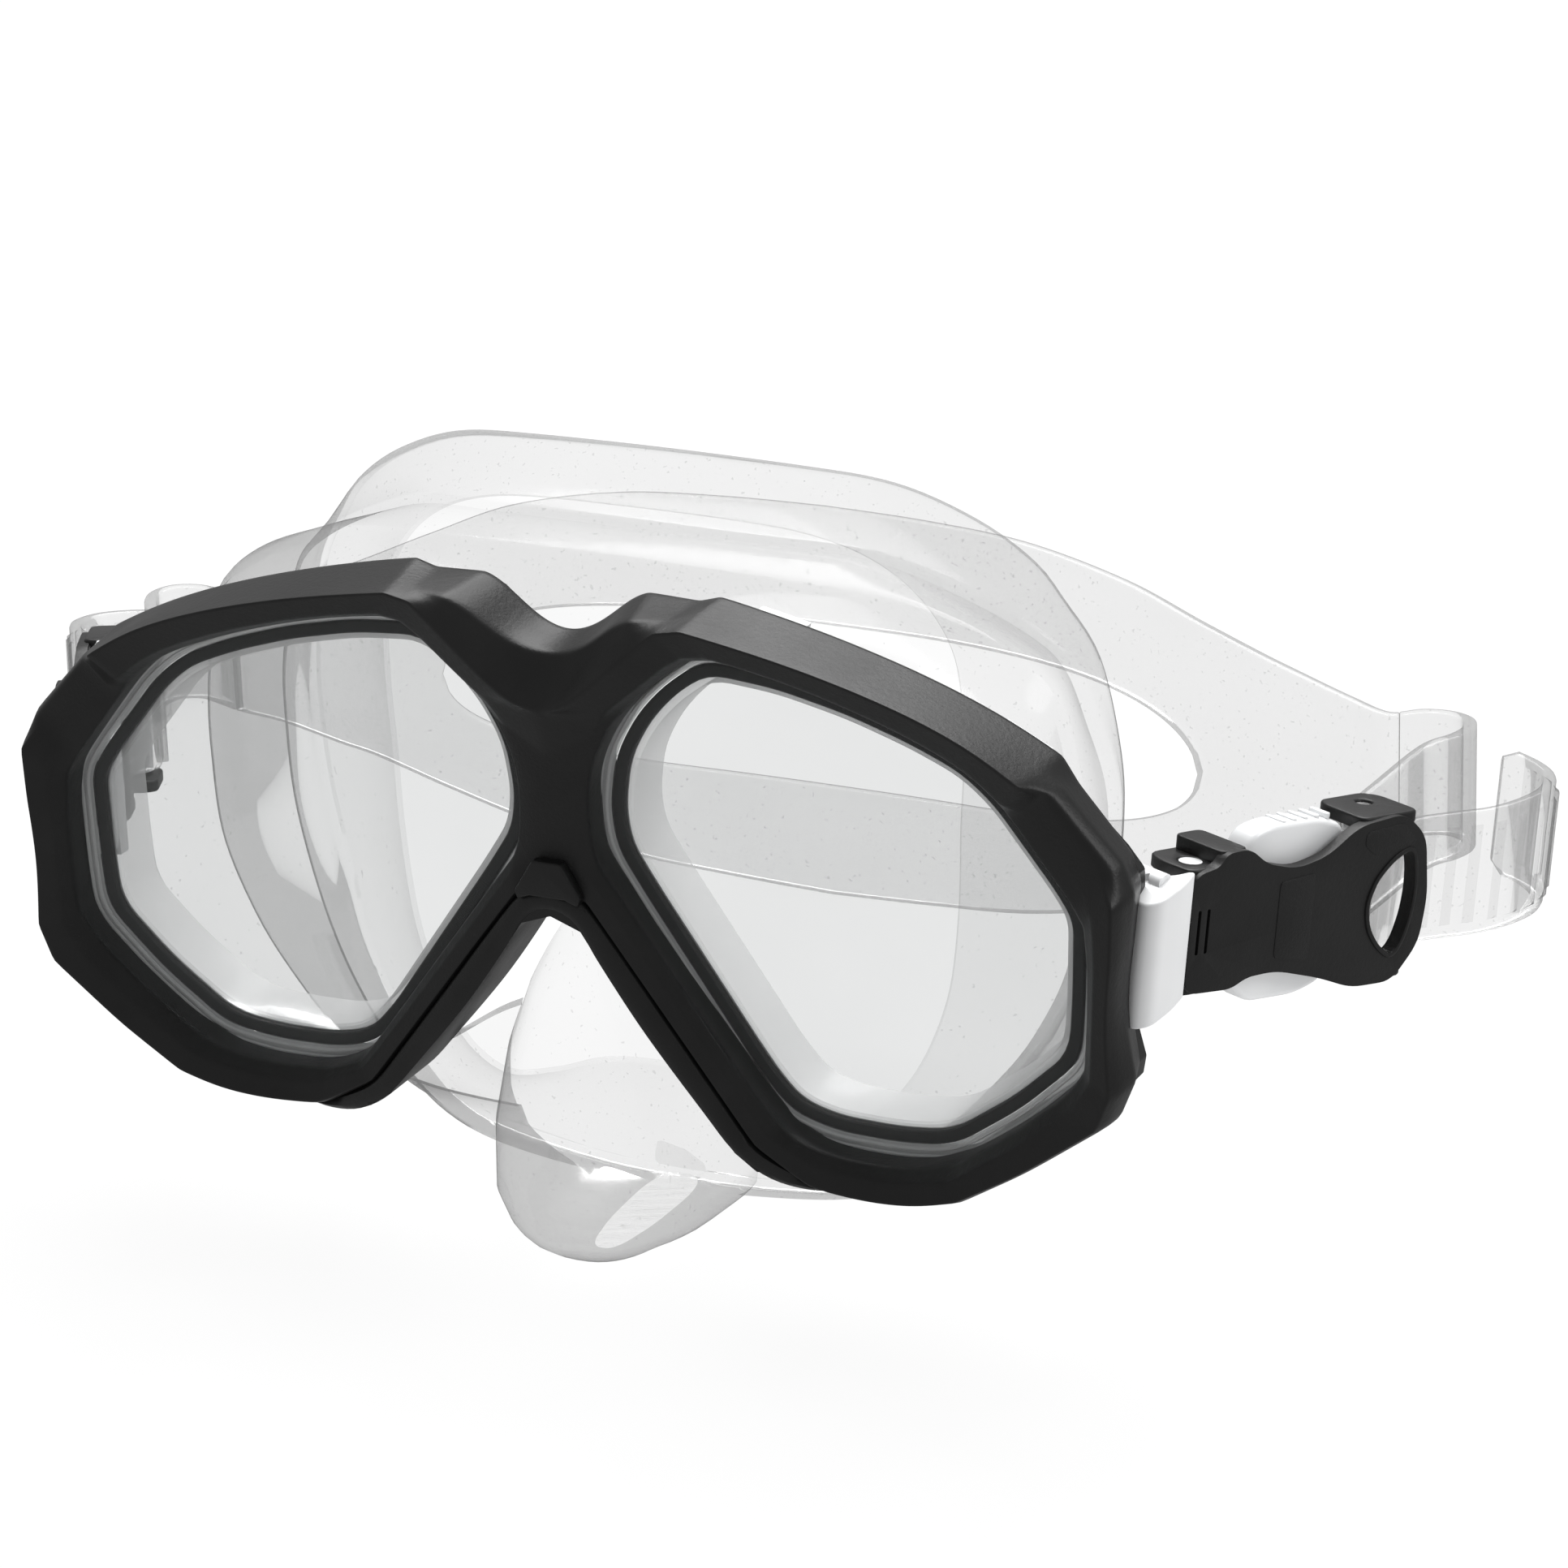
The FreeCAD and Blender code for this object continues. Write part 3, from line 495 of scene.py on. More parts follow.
def front_frame():
    """Half of the frame as a control mesh, mirrored and subdivided, creased where the moulding has edges."""
    rows = [station_points(*station) for station in STATIONS]
    spots, faces, slots, creases, index = [], [], [], {}, {}
    for i, row in enumerate(rows):
        for label, point in row.items():
            index[i, label] = len(spots)
            spots.append(point)
    count = len(rows)
    for i in range(count):
        j = (i + 1) % count
        walled = "back" in rows[i] and "back" in rows[j]
        floor_face = tuple(index[k] for k in ((i, "inner"), (j, "inner"), (j, "seat"), (i, "seat")))
        chain = ["seat", "edge", "lip", "crest"]
        if walled:
            chain += ["shoulder", "wall", "back", "inside", "inner"]
        else:
            faces.append(floor_face)
            slots.append(0)
        for a, b in zip(chain, chain[1:]):
            faces.append((index[i, a], index[j, a], index[j, b], index[i, b]))
            pad = i == PAD_STATION and b == "crest"
            bridge = i in BRIDGE_STATIONS and b in ("lip", "crest")
            slots.append(1 if pad or bridge else 0)
        if walled:
            faces.append(floor_face)
            slots.append(0)
        for label in chain:
            bridging = i in BRIDGE_STATIONS and label in ("crest", "lip")
            if not bridging and CREASE_OF[label]:
                creases[index[i, label], index[j, label]] = CREASE_OF[label]
        if i in CORNER_CREASE:
            profile = ("edge", "lip", "crest", "shoulder", "wall", "back")
            labels = [label for label in profile if label in rows[i]]
            for a, b in zip(labels, labels[1:]):
                creases[index[i, a], index[i, b]] = CORNER_CREASE[i]
    notch = [index[NOTCH_STATION, label] for label in ("edge", "lip", "crest")]
    for a, b in zip(notch, notch[1:]):
        creases[a, b] = NOTCH_CREASE
    whole = [place(*spot) for spot in spots]
    twin = list(range(len(spots)))
    for k, (x, depth, z) in enumerate(spots):
        if abs(x) > 1e-6:
            twin[k] = len(whole)
            whole.append(place(-x, depth, z))
    faces += [tuple(twin[k] for k in reversed(face)) for face in faces]
    piece = make_piece("front_frame_shell", whole, faces, [BLACK, GRAIN], slots * 2)
    edges = {tuple(sorted(edge.vertices)): edge.index for edge in piece.data.edges}
    layer = piece.data.attributes.new("crease_edge", "FLOAT", "EDGE")
    for (a, b), value in creases.items():
        for pair in ((a, b), (twin[a], twin[b])):
            key = tuple(sorted(pair))
            if key in edges:
                layer.data[edges[key]].value = value
    work = bmesh.new()
    work.from_mesh(piece.data)
    bmesh.ops.recalc_face_normals(work, faces=work.faces)
    work.to_mesh(piece.data)
    work.free()
    subdivide(piece, FINE + 1)
    return bake(piece)


shell = front_frame()
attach(shell, "mask")
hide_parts("front_frame")


# ------------------------------------------------------------------------------- nose arch and its clip
# outer edge (x, z) and inner edge (x, z) of the band, from the middle down one side
ARCH = [((0, 0.2), (0, -2.1)), ((2.6, 0.2), (2.4, -2.7)), ((4.9, -0.9), (4.5, -4.7)),
        ((9.3, -6.3), (6.9, -8.8)), ((16.1, -15.4), (13.2, -17.8)), ((24.0, -25.9), (21.3, -27.7)),
        ((28.2, -31.2), (26.0, -33.0)), ((32.4, -34.0), (30.8, -36.2)), ((37.0, -36.0), (36.4, -37.4)),
        ((42.5, -36.4), (42.5, -37.0))]
ARCH_BACK = 9.05
SINK_FROM = 30.0


def nose_arch():
    """Front and inner wall of the band over the nose, softly rounded."""
    ends = [((-sx, sz), (-ax, az)) for (sx, sz), (ax, az) in reversed(ARCH[1:])] + ARCH
    rings = []
    for (sx, sz), (ax, az) in ends:
        mx, mz = 0.4 * sx + 0.6 * ax, 0.4 * sz + 0.6 * az
        sink = 0.25 * max(0.0, abs(sx) - SINK_FROM)
        rings.append([(sx, 1.0 + sink, sz), (sx, -1.6 + sink, sz),
                      (0.9 * sx + 0.1 * ax, -2.3 + sink, 0.9 * sz + 0.1 * az), (mx, -2.75 + sink, mz),
                      (0.06 * sx + 0.94 * ax, -2.3 + sink, 0.06 * sz + 0.94 * az),
                      (ax, -1.5 + sink, az), (ax, 3.5 + 0.5 * sink, az), (ax, ARCH_BACK, az)])
    table = np.array(rings)
    smooth = np.stack([smooth_loop(table[:, k], 90, closed=False) for k in range(table.shape[1])], axis=1)
    piece = loft("nose_arch", [[place(*p) for p in ring] for ring in smooth], [BLACK], closed=False)
    return bake(piece, 50)


arch = nose_arch()
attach(arch, "mask")
CLIP = [(-2.1, 4.9), (2.1, 4.9), (4.9, 0.3), (4.5, -0.9), (2.6, -0.2), (-2.6, -0.2), (-4.5, -0.9),
        (-4.9, 0.3)]
clip = plate("bridge_clip_plate", CLIP, -1.2, -3.0, lambda x, z, depth: place(x, depth, z), BLACK, width=0.35)
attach(clip, "mask")
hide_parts("bridge_clip")


# ------------------------------------------------------------------------- lens rings, collars, flanges
RING_HOLE = [(21.2, 31.6), (31, 30.8), (41, 28.6), (50, 25.7), (57, 22.7), (61.5, 19), (70.0, 8.2),
             (72.3, 4.5), (72.0, -6), (71.4, -14.0), (63.5, -21.5), (54.4, -28.0), (47, -28.9), (38, -28.7),
             (32.5, -27.2), (28.5, -22.8), (12.5, 0.2), (8.8, 6.0), (8.1, 11.0), (9.1, 18.0), (12.2, 23.6),
             (16.0, 27.8)]
RING_CORNER = 3.2
# (inset from the ring's hole, depth) of each piece that follows the lens
RING_PROFILE = [(0.0, 4.5), (-0.2, 4.3), (-1.6, 4.3), (-1.8, 4.5), (-1.8, 5.7), (-0.2, 5.8), (0.0, 5.6)]
FLANGE_PROFILE = [(-1.9, 4.5), (-2.2, 4.25), (-2.5, 4.5), (-3.4, 4.3), (-4.4, 4.2)]
THREADS = (-2.15, -3.2)
THREAD_PROFILE = [(0.0, 4.15), (0.2, 3.9), (0.42, 3.9), (0.6, 4.15)]
COLLAR_PROFILE = [(-0.1, 5.3), (0.35, 5.0), (0.7, 5.0), (1.0, 5.3), (1.05, 7.0), (1.2, 10.5), (1.5, 12.6)]


def lens_outline(amount):
    return rounded_loop(inset(RING_HOLE, amount), RING_CORNER)


def ring_profile(name, profile, material, side, closed=True):
    """Ring that follows the lens: profile is a list of (inset from the ring's hole, depth)."""
    rings = [[place(side * x, depth, z) for x, z in lens_outline(amount)] for amount, depth in profile]
    if closed:
        rings.append(rings[0])
    return bake(loft(name, rings, [material]), 40)


for name, side in SIDES.items():
    ring = ring_profile(f"lens_ring_{name}_detail", RING_PROFILE, BLACK, side)
    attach(ring, "mask")
    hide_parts(f"lens_ring_{name}")
    flange = ring_profile(f"lens_flange_{name}", FLANGE_PROFILE, FLANGE, side, False)
    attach(flange, "mask")
    for k, reach in enumerate(THREADS):
        thread_profile = [(reach - step, depth) for step, depth in THREAD_PROFILE]
        # the threads take the near-white silicone: painted highlight lines on the flange
        thread = ring_profile(f"lens_thread_{name}_{k}", thread_profile, PAINTED_HIGHLIGHT, side, False)
        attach(thread, "mask")
    # the collar takes the near-white silicone: painted highlight on the band inside the ring
    collar = ring_profile(f"lens_collar_{name}", COLLAR_PROFILE, PAINTED_HIGHLIGHT, side, False)
    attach(collar, "mask")


# ---------------------------------------------------------------------------------------------- skirt
# half outlines (x, z) from the middle on top to the middle below: at the face, at the second ridge, at the
# first ridge and behind the lenses
RIM = [(0, 50.4), (20, 49.8), (33, 48.3), (43.5, 44), (51, 38.5), (55, 33), (59.5, 25), (62, 12), (62.3, 2),
       (61, -10), (58, -22), (55.5, -32), (50, -42), (44, -49), (38, -53), (30, -55), (14, -56), (0, -56)]
BROW = [(0, 43.4), (20, 43), (33, 42), (43.6, 38), (53, 32.5), (58.5, 27), (61.5, 18), (63.5, 10), (63.8, 2),
        (62.8, -10), (59, -22), (54, -32), (47, -41), (41, -47), (35, -50.5), (27, -52.5), (14, -53.5),
        (0, -54)]
STEP = [(0, 41.4), (18, 41), (33.5, 40.3), (42.9, 39), (53.8, 35), (61.4, 29.4), (64.2, 23.2), (66, 12),
        (66.2, 2), (65, -10), (60, -21), (54, -29), (47, -36), (40, -40), (33, -41.5), (25, -42), (12, -42),
        (0, -42)]
THROAT = [(0, 33.2), (14, 35.5), (24, 36.5), (33.5, 36), (43, 33.5), (53.8, 29.6), (63, 25.0), (68, 19),
          (75, 10), (76.6, 2), (76.0, -10), (73, -18), (62, -27.5), (50, -32.6), (38, -33.2), (25, -30),
          (12, -22), (0, -18)]
SKIRT_POINTS = 200
# nose pocket: distance below the bridge, half width and depth of its front there
POCKET_DROP = [0, 4, 9, 17, 27, 38, 46, 51, 54, 55.6, 56]
POCKET_HALF = [3, 4.5, 6.5, 9.8, 12.6, 14.6, 14.8, 13, 10.2, 6.5, 3]
POCKET_FRONT = [9, 8, 5.6, 1, -2.6, -4.2, -4.4, -3, -0.6, 3, 8]
POCKET_BACK = 34.0
POCKET_RINGS = 40
POCKET_POINTS = 48


def whole_loop(half):
    """Closed loop from its right half."""
    return list(half) + [(-x, z) for x, z in reversed(half) if x > 1e-6]


def skirt_ring(half, depth_of, grow):
    """Ring of the skirt: smooth outline, each point at its own depth."""
    loop = smooth_loop(whole_loop(half), SKIRT_POINTS)
    if grow:
        loop = inset(loop, -grow)
    return [(x, depth_of(x, z), z) for x, z in loop]


def mix_half(a, b, share):
    return [(p[0] + (q[0] - p[0]) * share, p[1] + (q[1] - p[1]) * share) for p, q in zip(a, b)]


def rim_depth(x, z):
    lower = max(0.0, min(1.0, (-z - 20) / 36))
    return 36.5 + 9.5 * (abs(x) / 62) ** 2 - 3.5 * lower * (1 - abs(x) / 62)


def brow_depth(x, z):
    return 26 + 14 * (min(abs(x), 64) / 64) ** 2.2


def step_depth(x, z):
    return 17.5 + 5 * (min(abs(x), 66) / 66) ** 2


def blended(first, second, share):
    """Depth between two levels."""
    return lambda x, z: first(x, z) * (1 - share) + second(x, z) * share


def shifted(depth_of, amount):
    return lambda x, z: depth_of(x, z) + amount


def level(depth):
    return lambda x, z: depth


# outline, depth of each point, how far the outline is pushed out: from behind the lenses to the face
SKIN = [(THROAT, level(7.4), 0.0), (THROAT, level(9.2), -0.5),
        (mix_half(THROAT, STEP, 0.45), level(12.4), 0.0), (STEP, shifted(step_depth, -0.5), -1.0),
        (STEP, shifted(step_depth, 0.1), -0.15), (STEP, shifted(step_depth, 1.3), 0.1),
        (mix_half(STEP, BROW, 0.5), blended(step_depth, brow_depth, 0.5), 0.0),
        (BROW, shifted(brow_depth, -0.9), -0.9), (BROW, shifted(brow_depth, -0.4), 0.15),
        (BROW, shifted(brow_depth, 0.7), 0.3),
        (mix_half(BROW, RIM, 0.45), blended(brow_depth, rim_depth, 0.5), 0.0),
        (mix_half(BROW, RIM, 0.85), shifted(rim_depth, -1.8), 0.0), (RIM, shifted(rim_depth, -0.4), 0.0),
        (RIM, rim_depth, -0.3), (RIM, shifted(rim_depth, 0.1), -1.1)]


def pocket_rings():
    """Closed sections of the nose pocket, one per height, from the bridge down to its foot."""
    rings = []
    for height in np.linspace(0, -POCKET_DROP[-1], POCKET_RINGS):
        half = float(np.interp(-height, POCKET_DROP, POCKET_HALF))
        front = float(np.interp(-height, POCKET_DROP, POCKET_FRONT))
        middle = front + (POCKET_BACK - front) * 0.5
        ring = []
        for t in np.linspace(0, 2 * math.pi, POCKET_POINTS + 1)[:-1]:
            u, v = math.sin(t), -math.cos(t)
            wide = half * (1.0 + 0.32 * max(0.0, v + 0.5)) * math.copysign(abs(u) ** 0.8, u)
            deep = middle + (POCKET_BACK - front) * 0.5 * math.copysign(abs(v) ** 0.75, v)
            ring.append((wide, deep, height))
        rings.append(ring)
    return rings


def skirt_skin():
    """The skirt's outer skin with its nose pocket, both open where the lenses and the face are."""
    rings = [[place(*p) for p in skirt_ring(half, depth_of, grow)] for half, depth_of, grow in SKIN]
    shell = loft("skirt_skin", rings, [CLEAR], cap=True)
    pocket = loft("pocket", [[place(*p) for p in ring] for ring in pocket_rings()], [CLEAR], cap=True)
    union = shell.modifiers.new("Pocket", "BOOLEAN")
    union.operation = "UNION"
    union.solver = "EXACT"
    union.object = pocket
    bake(shell)
    bpy.data.objects.remove(pocket)
    work = bmesh.new()
    work.from_mesh(shell.data)
    caps = [face for face in work.faces if len(face.verts) > 40 and abs(face.normal.y) > 0.5]
    bmesh.ops.delete(work, geom=caps, context="FACES")
    bmesh.ops.triangulate(work, faces=[face for face in work.faces if len(face.verts) > 4])
    work.to_mesh(shell.data)
    work.free()
    for face in shell.data.polygons:
        face.use_smooth = True
    shell.data.set_sharp_from_angle(angle=math.radians(55))
    return shell


def face_seal():
    """The soft inner lip that meets the face, turned inwards from the rim."""
    inner = [(0, 44), (18, 43.4), (28, 41.5), (35, 38), (40, 33), (43, 27), (44, 20), (44, 10), (43.5, 2),
             (43, -10), (41.5, -22), (38.5, -31), (35, -37), (31, -41), (25, -43), (17, -41), (9, -38),
             (0, -37)]
    depth_in = shifted(rim_depth, -7.0)
    levels = [(RIM, shifted(rim_depth, 0.1), -1.1), (mix_half(RIM, inner, 0.25), shifted(rim_depth, -0.6), 0),
              (mix_half(RIM, inner, 0.7), shifted(rim_depth, -3.2), 0), (inner, depth_in, 0),
              (inner, shifted(depth_in, 0.8), -0.5)]
    rings = [[place(*p) for p in skirt_ring(half, depth_of, grow)] for half, depth_of, grow in levels]
    return bake(loft("skirt_face_seal", rings, [CLEAR]), 60)


skin = skirt_skin()
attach(skin, "mask")
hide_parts("skirt")
seal = face_seal()
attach(seal, "mask")


# --------------------------------------------------------------------------------------- strap pieces
BAND_HALF = 8.7
BAND_THICK = 1.8
BAND_STEP = 0.75
RIB_HEIGHT = 0.6
ROLLER_CENTRE = (-2.3, 33.4)
ROLLER_RADIUS = 2.4
ROLLER_GAP = 0.35
SPLAY = math.radians(25)
DROOP = math.radians(8)
SWIVEL = Vector((82.5, 17.0, 1.0))


def on_buckle(side, x, y, z):
    """A point in a buckle's own frame: x outwards, y back along the strap, z along its pin."""
    turn = Matrix.Rotation(-side * SPLAY, 3, "Z") @ Matrix.Rotation(-DROOP, 3, "X")
    spot = turn @ Vector((side * x, y, z)) + Vector((side * SWIVEL.x, SWIVEL.y, SWIVEL.z))
    return place(spot.x, spot.y, spot.z)


def band(name, path, turn):
    """Strap on a path of (across, along, centre height), with rounded edges and ribs on its outside."""
    path = np.array(path, float)
    length = np.sum(np.linalg.norm(np.diff(path, axis=0), axis=1))
    line = smooth_loop(path, int(length / BAND_STEP), closed=False)
    ahead = np.gradient(line, axis=0)
    rings, slots = [], []
    for i, (spot, way) in enumerate(zip(line, ahead)):
        out = np.array([way[1], -way[0]]) / math.hypot(way[0], way[1])
        raised = RIB_HEIGHT if 6 < i < len(line) - 4 and i % 4 in (1, 2) else 0.0
        edge = min(1.0, 0.35 + 0.22 * min(i, len(line) - 1 - i))
        t = BAND_THICK / 2 * edge
        h = BAND_HALF - (1.0 - edge) * 2.0
        section = [(-t, -h + 0.5), (-t + 0.15, -h + 0.15), (-t + 0.5, -h), (t - 0.5, -h),
                   (t - 0.15, -h + 0.15), (t, -h + 0.5), (t, -h + 1.9), (t + raised, -h + 2.2),
                   (t + raised, h - 2.2), (t, h - 1.9), (t, h - 0.5), (t - 0.15, h - 0.15), (t - 0.5, h),
                   (-t + 0.5, h), (-t + 0.15, h - 0.15), (-t, h - 0.5)]
        rings.append([turn(spot[0] + out[0] * u, spot[1] + out[1] * u, spot[2] + w) for u, w in section])
        # the rib faces take slot 1, the darker rib silicone: painted shade along the ribs
        slots += [1 if raised and k in (6, 7, 8) else 0 for k in range(len(section))]
    slots = slots[:(len(rings) - 1) * len(rings[0])]
    piece = loft(name, rings, [STRAP, RIB_SHADE], cap=True, slots=slots)
    return bake(piece, 50)


# half of the strap: x, depth, upper edge, lower edge, how far it hangs lower on the wearer's right
STRAP_HALF = [
    (0, 85.0, 26.5, -33.0, 0), (16, 84.7, 26.2, -32.3, 0), (32, 83.2, 25.4, -30.6, 0),
    (48, 80.9, 22.5, -26.5, 0.1), (60, 78.6, 18.8, -21.0, 1.2), (70, 76.4, 16.0, -15.2, 2.8),
    (76, 75.1, 14.5, -12.3, 3.8),
    (84, 73.4, 12.6, -8.4, 5.0), (90, 72.3, 11.5, -6.6, 5.6), (94.5, 73.6, 12.0, -6.0, 6.0),
    (98.4, 74.0, 12.1, -5.6, 6.0), (101.6, 72.2, 12.2, -5.5, 6.0), (102.6, 69.0, 12.2, -5.5, 6.0),
    (101.6, 65.8, 12.1, -5.6, 6.0), (99.6, 63.2, 11.8, -5.8, 6.0), (97.8, 59.8, 10.8, -6.6, 5.2),
    (94.6, 54.6, 8.0, -9.4, 2.8), (91.1, 49.5, 5.0, -12.3, 0),
]
STRAP_SPLIT = 91.0
STRAP_POINTS = 170
SLOT_END = 60.0
SLOT_MIDDLE = -3.6
SLOT_FADE = 10
COLUMN_STEPS = (0, 0.08, 0.3, 0.7, 0.92, 1)


def strap_columns(side):
    """Upright rows of points along half of the strap, split by its slot where there is one."""
    columns = []
    for x, depth, high, bottom, hang in smooth_loop(STRAP_HALF, STRAP_POINTS, closed=False):
        slotted = x < SLOT_END and depth > 75
        share = math.sqrt(max(0.0, 1 - (x / SLOT_END) ** 4)) if slotted else 0.0
        middle = SLOT_MIDDLE if x < SLOT_END or depth < 60 else (high + bottom) / 2
        if x < SLOT_END + SLOT_FADE and depth > 75:
            past = max(0.0, x - SLOT_END) / SLOT_FADE
            middle = SLOT_MIDDLE + ((high + bottom) / 2 - SLOT_MIDDLE) * past
        gap_top, gap_low = middle + 12.4 * share, middle - 12.6 * share
        levels = [bottom + (gap_low - bottom) * t for t in COLUMN_STEPS]
        levels += [gap_top + (high - gap_top) * t for t in COLUMN_STEPS]
        fall = hang if side < 0 else 0.0
        columns.append([(side * x, depth, z - fall) for z in levels])
    return columns


def strap_sheet(name, columns):
    """Sheet of strap thickness through columns of points, open between its sixth and seventh rows."""
    count = len(columns[0])
    slot_row = len(COLUMN_STEPS) - 1
    points = [place(*p) for column in columns for p in column]
    faces = []
    for c in range(len(columns) - 1):
        for r in range(count - 1):
            a = c * count + r
            if r != slot_row:
                faces.append((a, a + count, a + count + 1, a + 1))
    piece = make_piece(name, points, faces, [STRAP])
    tidy(piece, 1e-5)
    solid = piece.modifiers.new("Thickness", "SOLIDIFY")
    solid.thickness = BAND_THICK / 1000
    solid.offset = 0
    bevel(piece, 0.45, 2, 50)
    return bake(piece, 50)


# the loose end behind the roller, in the buckle's own frame; it rises only on the wearer's left
TAIL = [(1.3, 37.0, 0.2), (1.6, 40.5, 0.8), (4.2, 44.6, 1.7), (6.9, 48.2, 2.6), (8.2, 52.6, 3.6),
        (7.9, 57.0, 4.5), (5.4, 60.6, 5.3), (1.2, 62.0, 5.9), (-4.3, 61.7, 6.4)]
right_columns, left_columns = strap_columns(1), strap_columns(-1)
split = next(i for i, column in enumerate(right_columns) if column[0][0] > STRAP_SPLIT)
back = strap_sheet("strap_back", left_columns[split:0:-1] + right_columns[:split + 1])
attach(back, "mask")
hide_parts("strap")
for name, side in SIDES.items():
    end = strap_sheet(f"strap_end_{name}", (right_columns if side > 0 else left_columns)[split:])
    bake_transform(end)
    reach = ROLLER_RADIUS + ROLLER_GAP + BAND_THICK / 2
    wrap = [(ROLLER_CENTRE[0] - reach * math.cos(a), ROLLER_CENTRE[1] - reach * math.sin(a), 0)
            for a in np.linspace(0, math.pi, 9)]
    tail = wrap + TAIL
    if side < 0:
        tail = [(x, y, 0) for x, y, z in tail]
    loose = band(f"strap_tail_{name}", tail, lambda x, y, z, s=side: on_buckle(s, x, y, z))
    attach(loose, f"buckle_{name}")


# -------------------------------------------------------------------------------------------- buckles
# outlines seen from the side, as (along the strap, height)
SHELL = [(-3.4, -8.0), (-3.4, 8.0), (0.9, 8.7), (2.2, 10.3), (6.2, 10.5), (9.4, 8.0), (15, 6.6), (20.5, 7.6),
         (26, 10.9), (34.4, 11.6), (38.8, 8.0), (40.2, -0.6), (39.4, -7.0), (35, -11.7), (27.4, -11.5),
         (21, -9.2), (13, -7.1), (7.8, -7.2), (5, -8.4)]
EYE = [(36.3, 6.6), (33.0, 5.2), (30.3, 2.8), (29.0, -0.4), (29.7, -3.6), (31.8, -6.3), (34.2, -7.9),
       (35.7, -6.2), (36.9, -2.8), (37.3, 0.6), (37.1, 3.6)]
GRIP = [(12.2, -5.3), (18.6, -6.6), (18.6, 5.6), (12.2, 5.2)]
PATCH = [(27.2, 8.0), (29.5, 6.4), (35.4, 6.6), (37.2, 7.6), (34.2, 10.4), (27.4, 9.9)]
LEVER = [(4.2, 6.0), (7.0, 6.6), (9.4, 11.2), (13.0, 12.0), (21.5, 11.9), (25.6, 10.6), (26.6, 8.0),
         (26.6, -8.0), (24.4, -11.0), (20.0, -12.2), (11.0, -12.0), (8.4, -9.6), (6.6, -6.6), (4.2, -6.0)]
# outlines seen from above, as (outwards, along the strap)
FRONT_EAR = [(-5.4, -2.4), (-2.0, -3.6), (3.8, -3.4), (3.9, 6.2), (-5.4, 6.2)]
REAR_EAR = [(-5.8, 28.6), (-4.0, 27.6), (3.8, 27.4), (3.9, 37.8), (-3.8, 37.8), (-5.8, 36.2)]
LUG = [(-5.4, 1.8), (3.9, 1.8), (3.9, 6.6), (-5.4, 6.6)]
BAR = [(-5.5, -0.8), (-4.7, -0.8), (-4.7, 3.0), (-5.5, 3.0)]
BLOCK = [(-4.6, -10.6), (4.4, -11.8), (6.2, -10.4), (6.4, -7.0), (5.8, -4.6), (4.9, -4.8), (3.6, -6.0),
         (1.4, -6.9), (-2.6, -6.9), (-4.6, -7.4)]
NECK = [(-2.4, -7.4), (0.8, -7.4), (0.9, -1.2), (0.5, 0.6), (-1.6, 0.6), (-2.4, -1.2)]
EAR_THICK = 1.8
PIN_HOLE = 1.6
AXLE_HOLE = 1.15
LEVER_RIBS = 5


def circle(x, y, radius):
    angles = np.linspace(0, 2 * math.pi, 25)[:-1]
    return [(x + radius * math.cos(a), y + radius * math.sin(a)) for a in angles]


def slot_mark(along):
    """Narrow upright slot in the shell's front."""
    near, far, low, high = along - 0.25, along + 0.25, -2.8, 3.2
    return rounded_loop([(near, low), (far, low), (far, high), (near, high)], 0.45, 4)


def flat_on(side):
    """Turn of a plate that lies flat on the buckle: drawn as (along, height), thickness outwards."""
    return lambda y, z, x: on_buckle(side, x, y, z)


def stacked_on(side):
    """Turn of a plate across the buckle: drawn as (outwards, along), thickness along its pin."""
    return lambda x, y, z: on_buckle(side, x, y, z)


def buckle(name, side):
    """Black shell with ears, eye rim, slot marks and grained patches."""
    flat, stacked = flat_on(side), stacked_on(side)
    outline = rounded_loop(SHELL, 2.2, 6)
    marks = [slot_mark(-1.9), slot_mark(-0.3)]
    eye = rounded_loop(EYE, 1.4, 4)
    parts = [plate("outer", outline, 2.9, 4.6, flat, BLACK, [eye, *marks], 0.9, 5),
             plate("under", inset(outline, 0.3), 2.7, 2.9, flat, BLACK, [eye], 0.2, 2),
             plate("rim", inset(eye, -0.7), 4.4, 4.85, flat, BLACK, [eye], 0.2, 2),
             plate("grip", rounded_loop(GRIP, 0.8, 4), 4.4, 4.72, flat, GRAIN, (), 0.14, 2),
             plate("patch", rounded_loop(PATCH, 0.8, 4), 4.4, 4.7, flat, GRAIN, (), 0.12, 2)]
    ears = [(FRONT_EAR, (6.7, -8.5), circle(0, 0, PIN_HOLE)),
            (REAR_EAR, (9.7, -11.5), circle(*ROLLER_CENTRE, AXLE_HOLE))]
    for ear, lows, hole in ears:
        for low in lows:
            parts.append(plate("ear", rounded_loop(ear, 1.6, 5), low, low + EAR_THICK, stacked, BLACK, [hole],
                               0.35, 3))
    parts.append(plate("lug", rounded_loop(LUG, 1.2, 4), 7.0, 10.4, stacked, BLACK, (), 0.8, 4))
    parts.append(plate("bar", BAR, -6.8, 6.8, stacked, BLACK, (), 0.2, 2))
    whole = join(f"buckle_shell_{name}", parts)
    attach(whole, f"buckle_{name}")
    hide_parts(f"buckle_body_{name}")


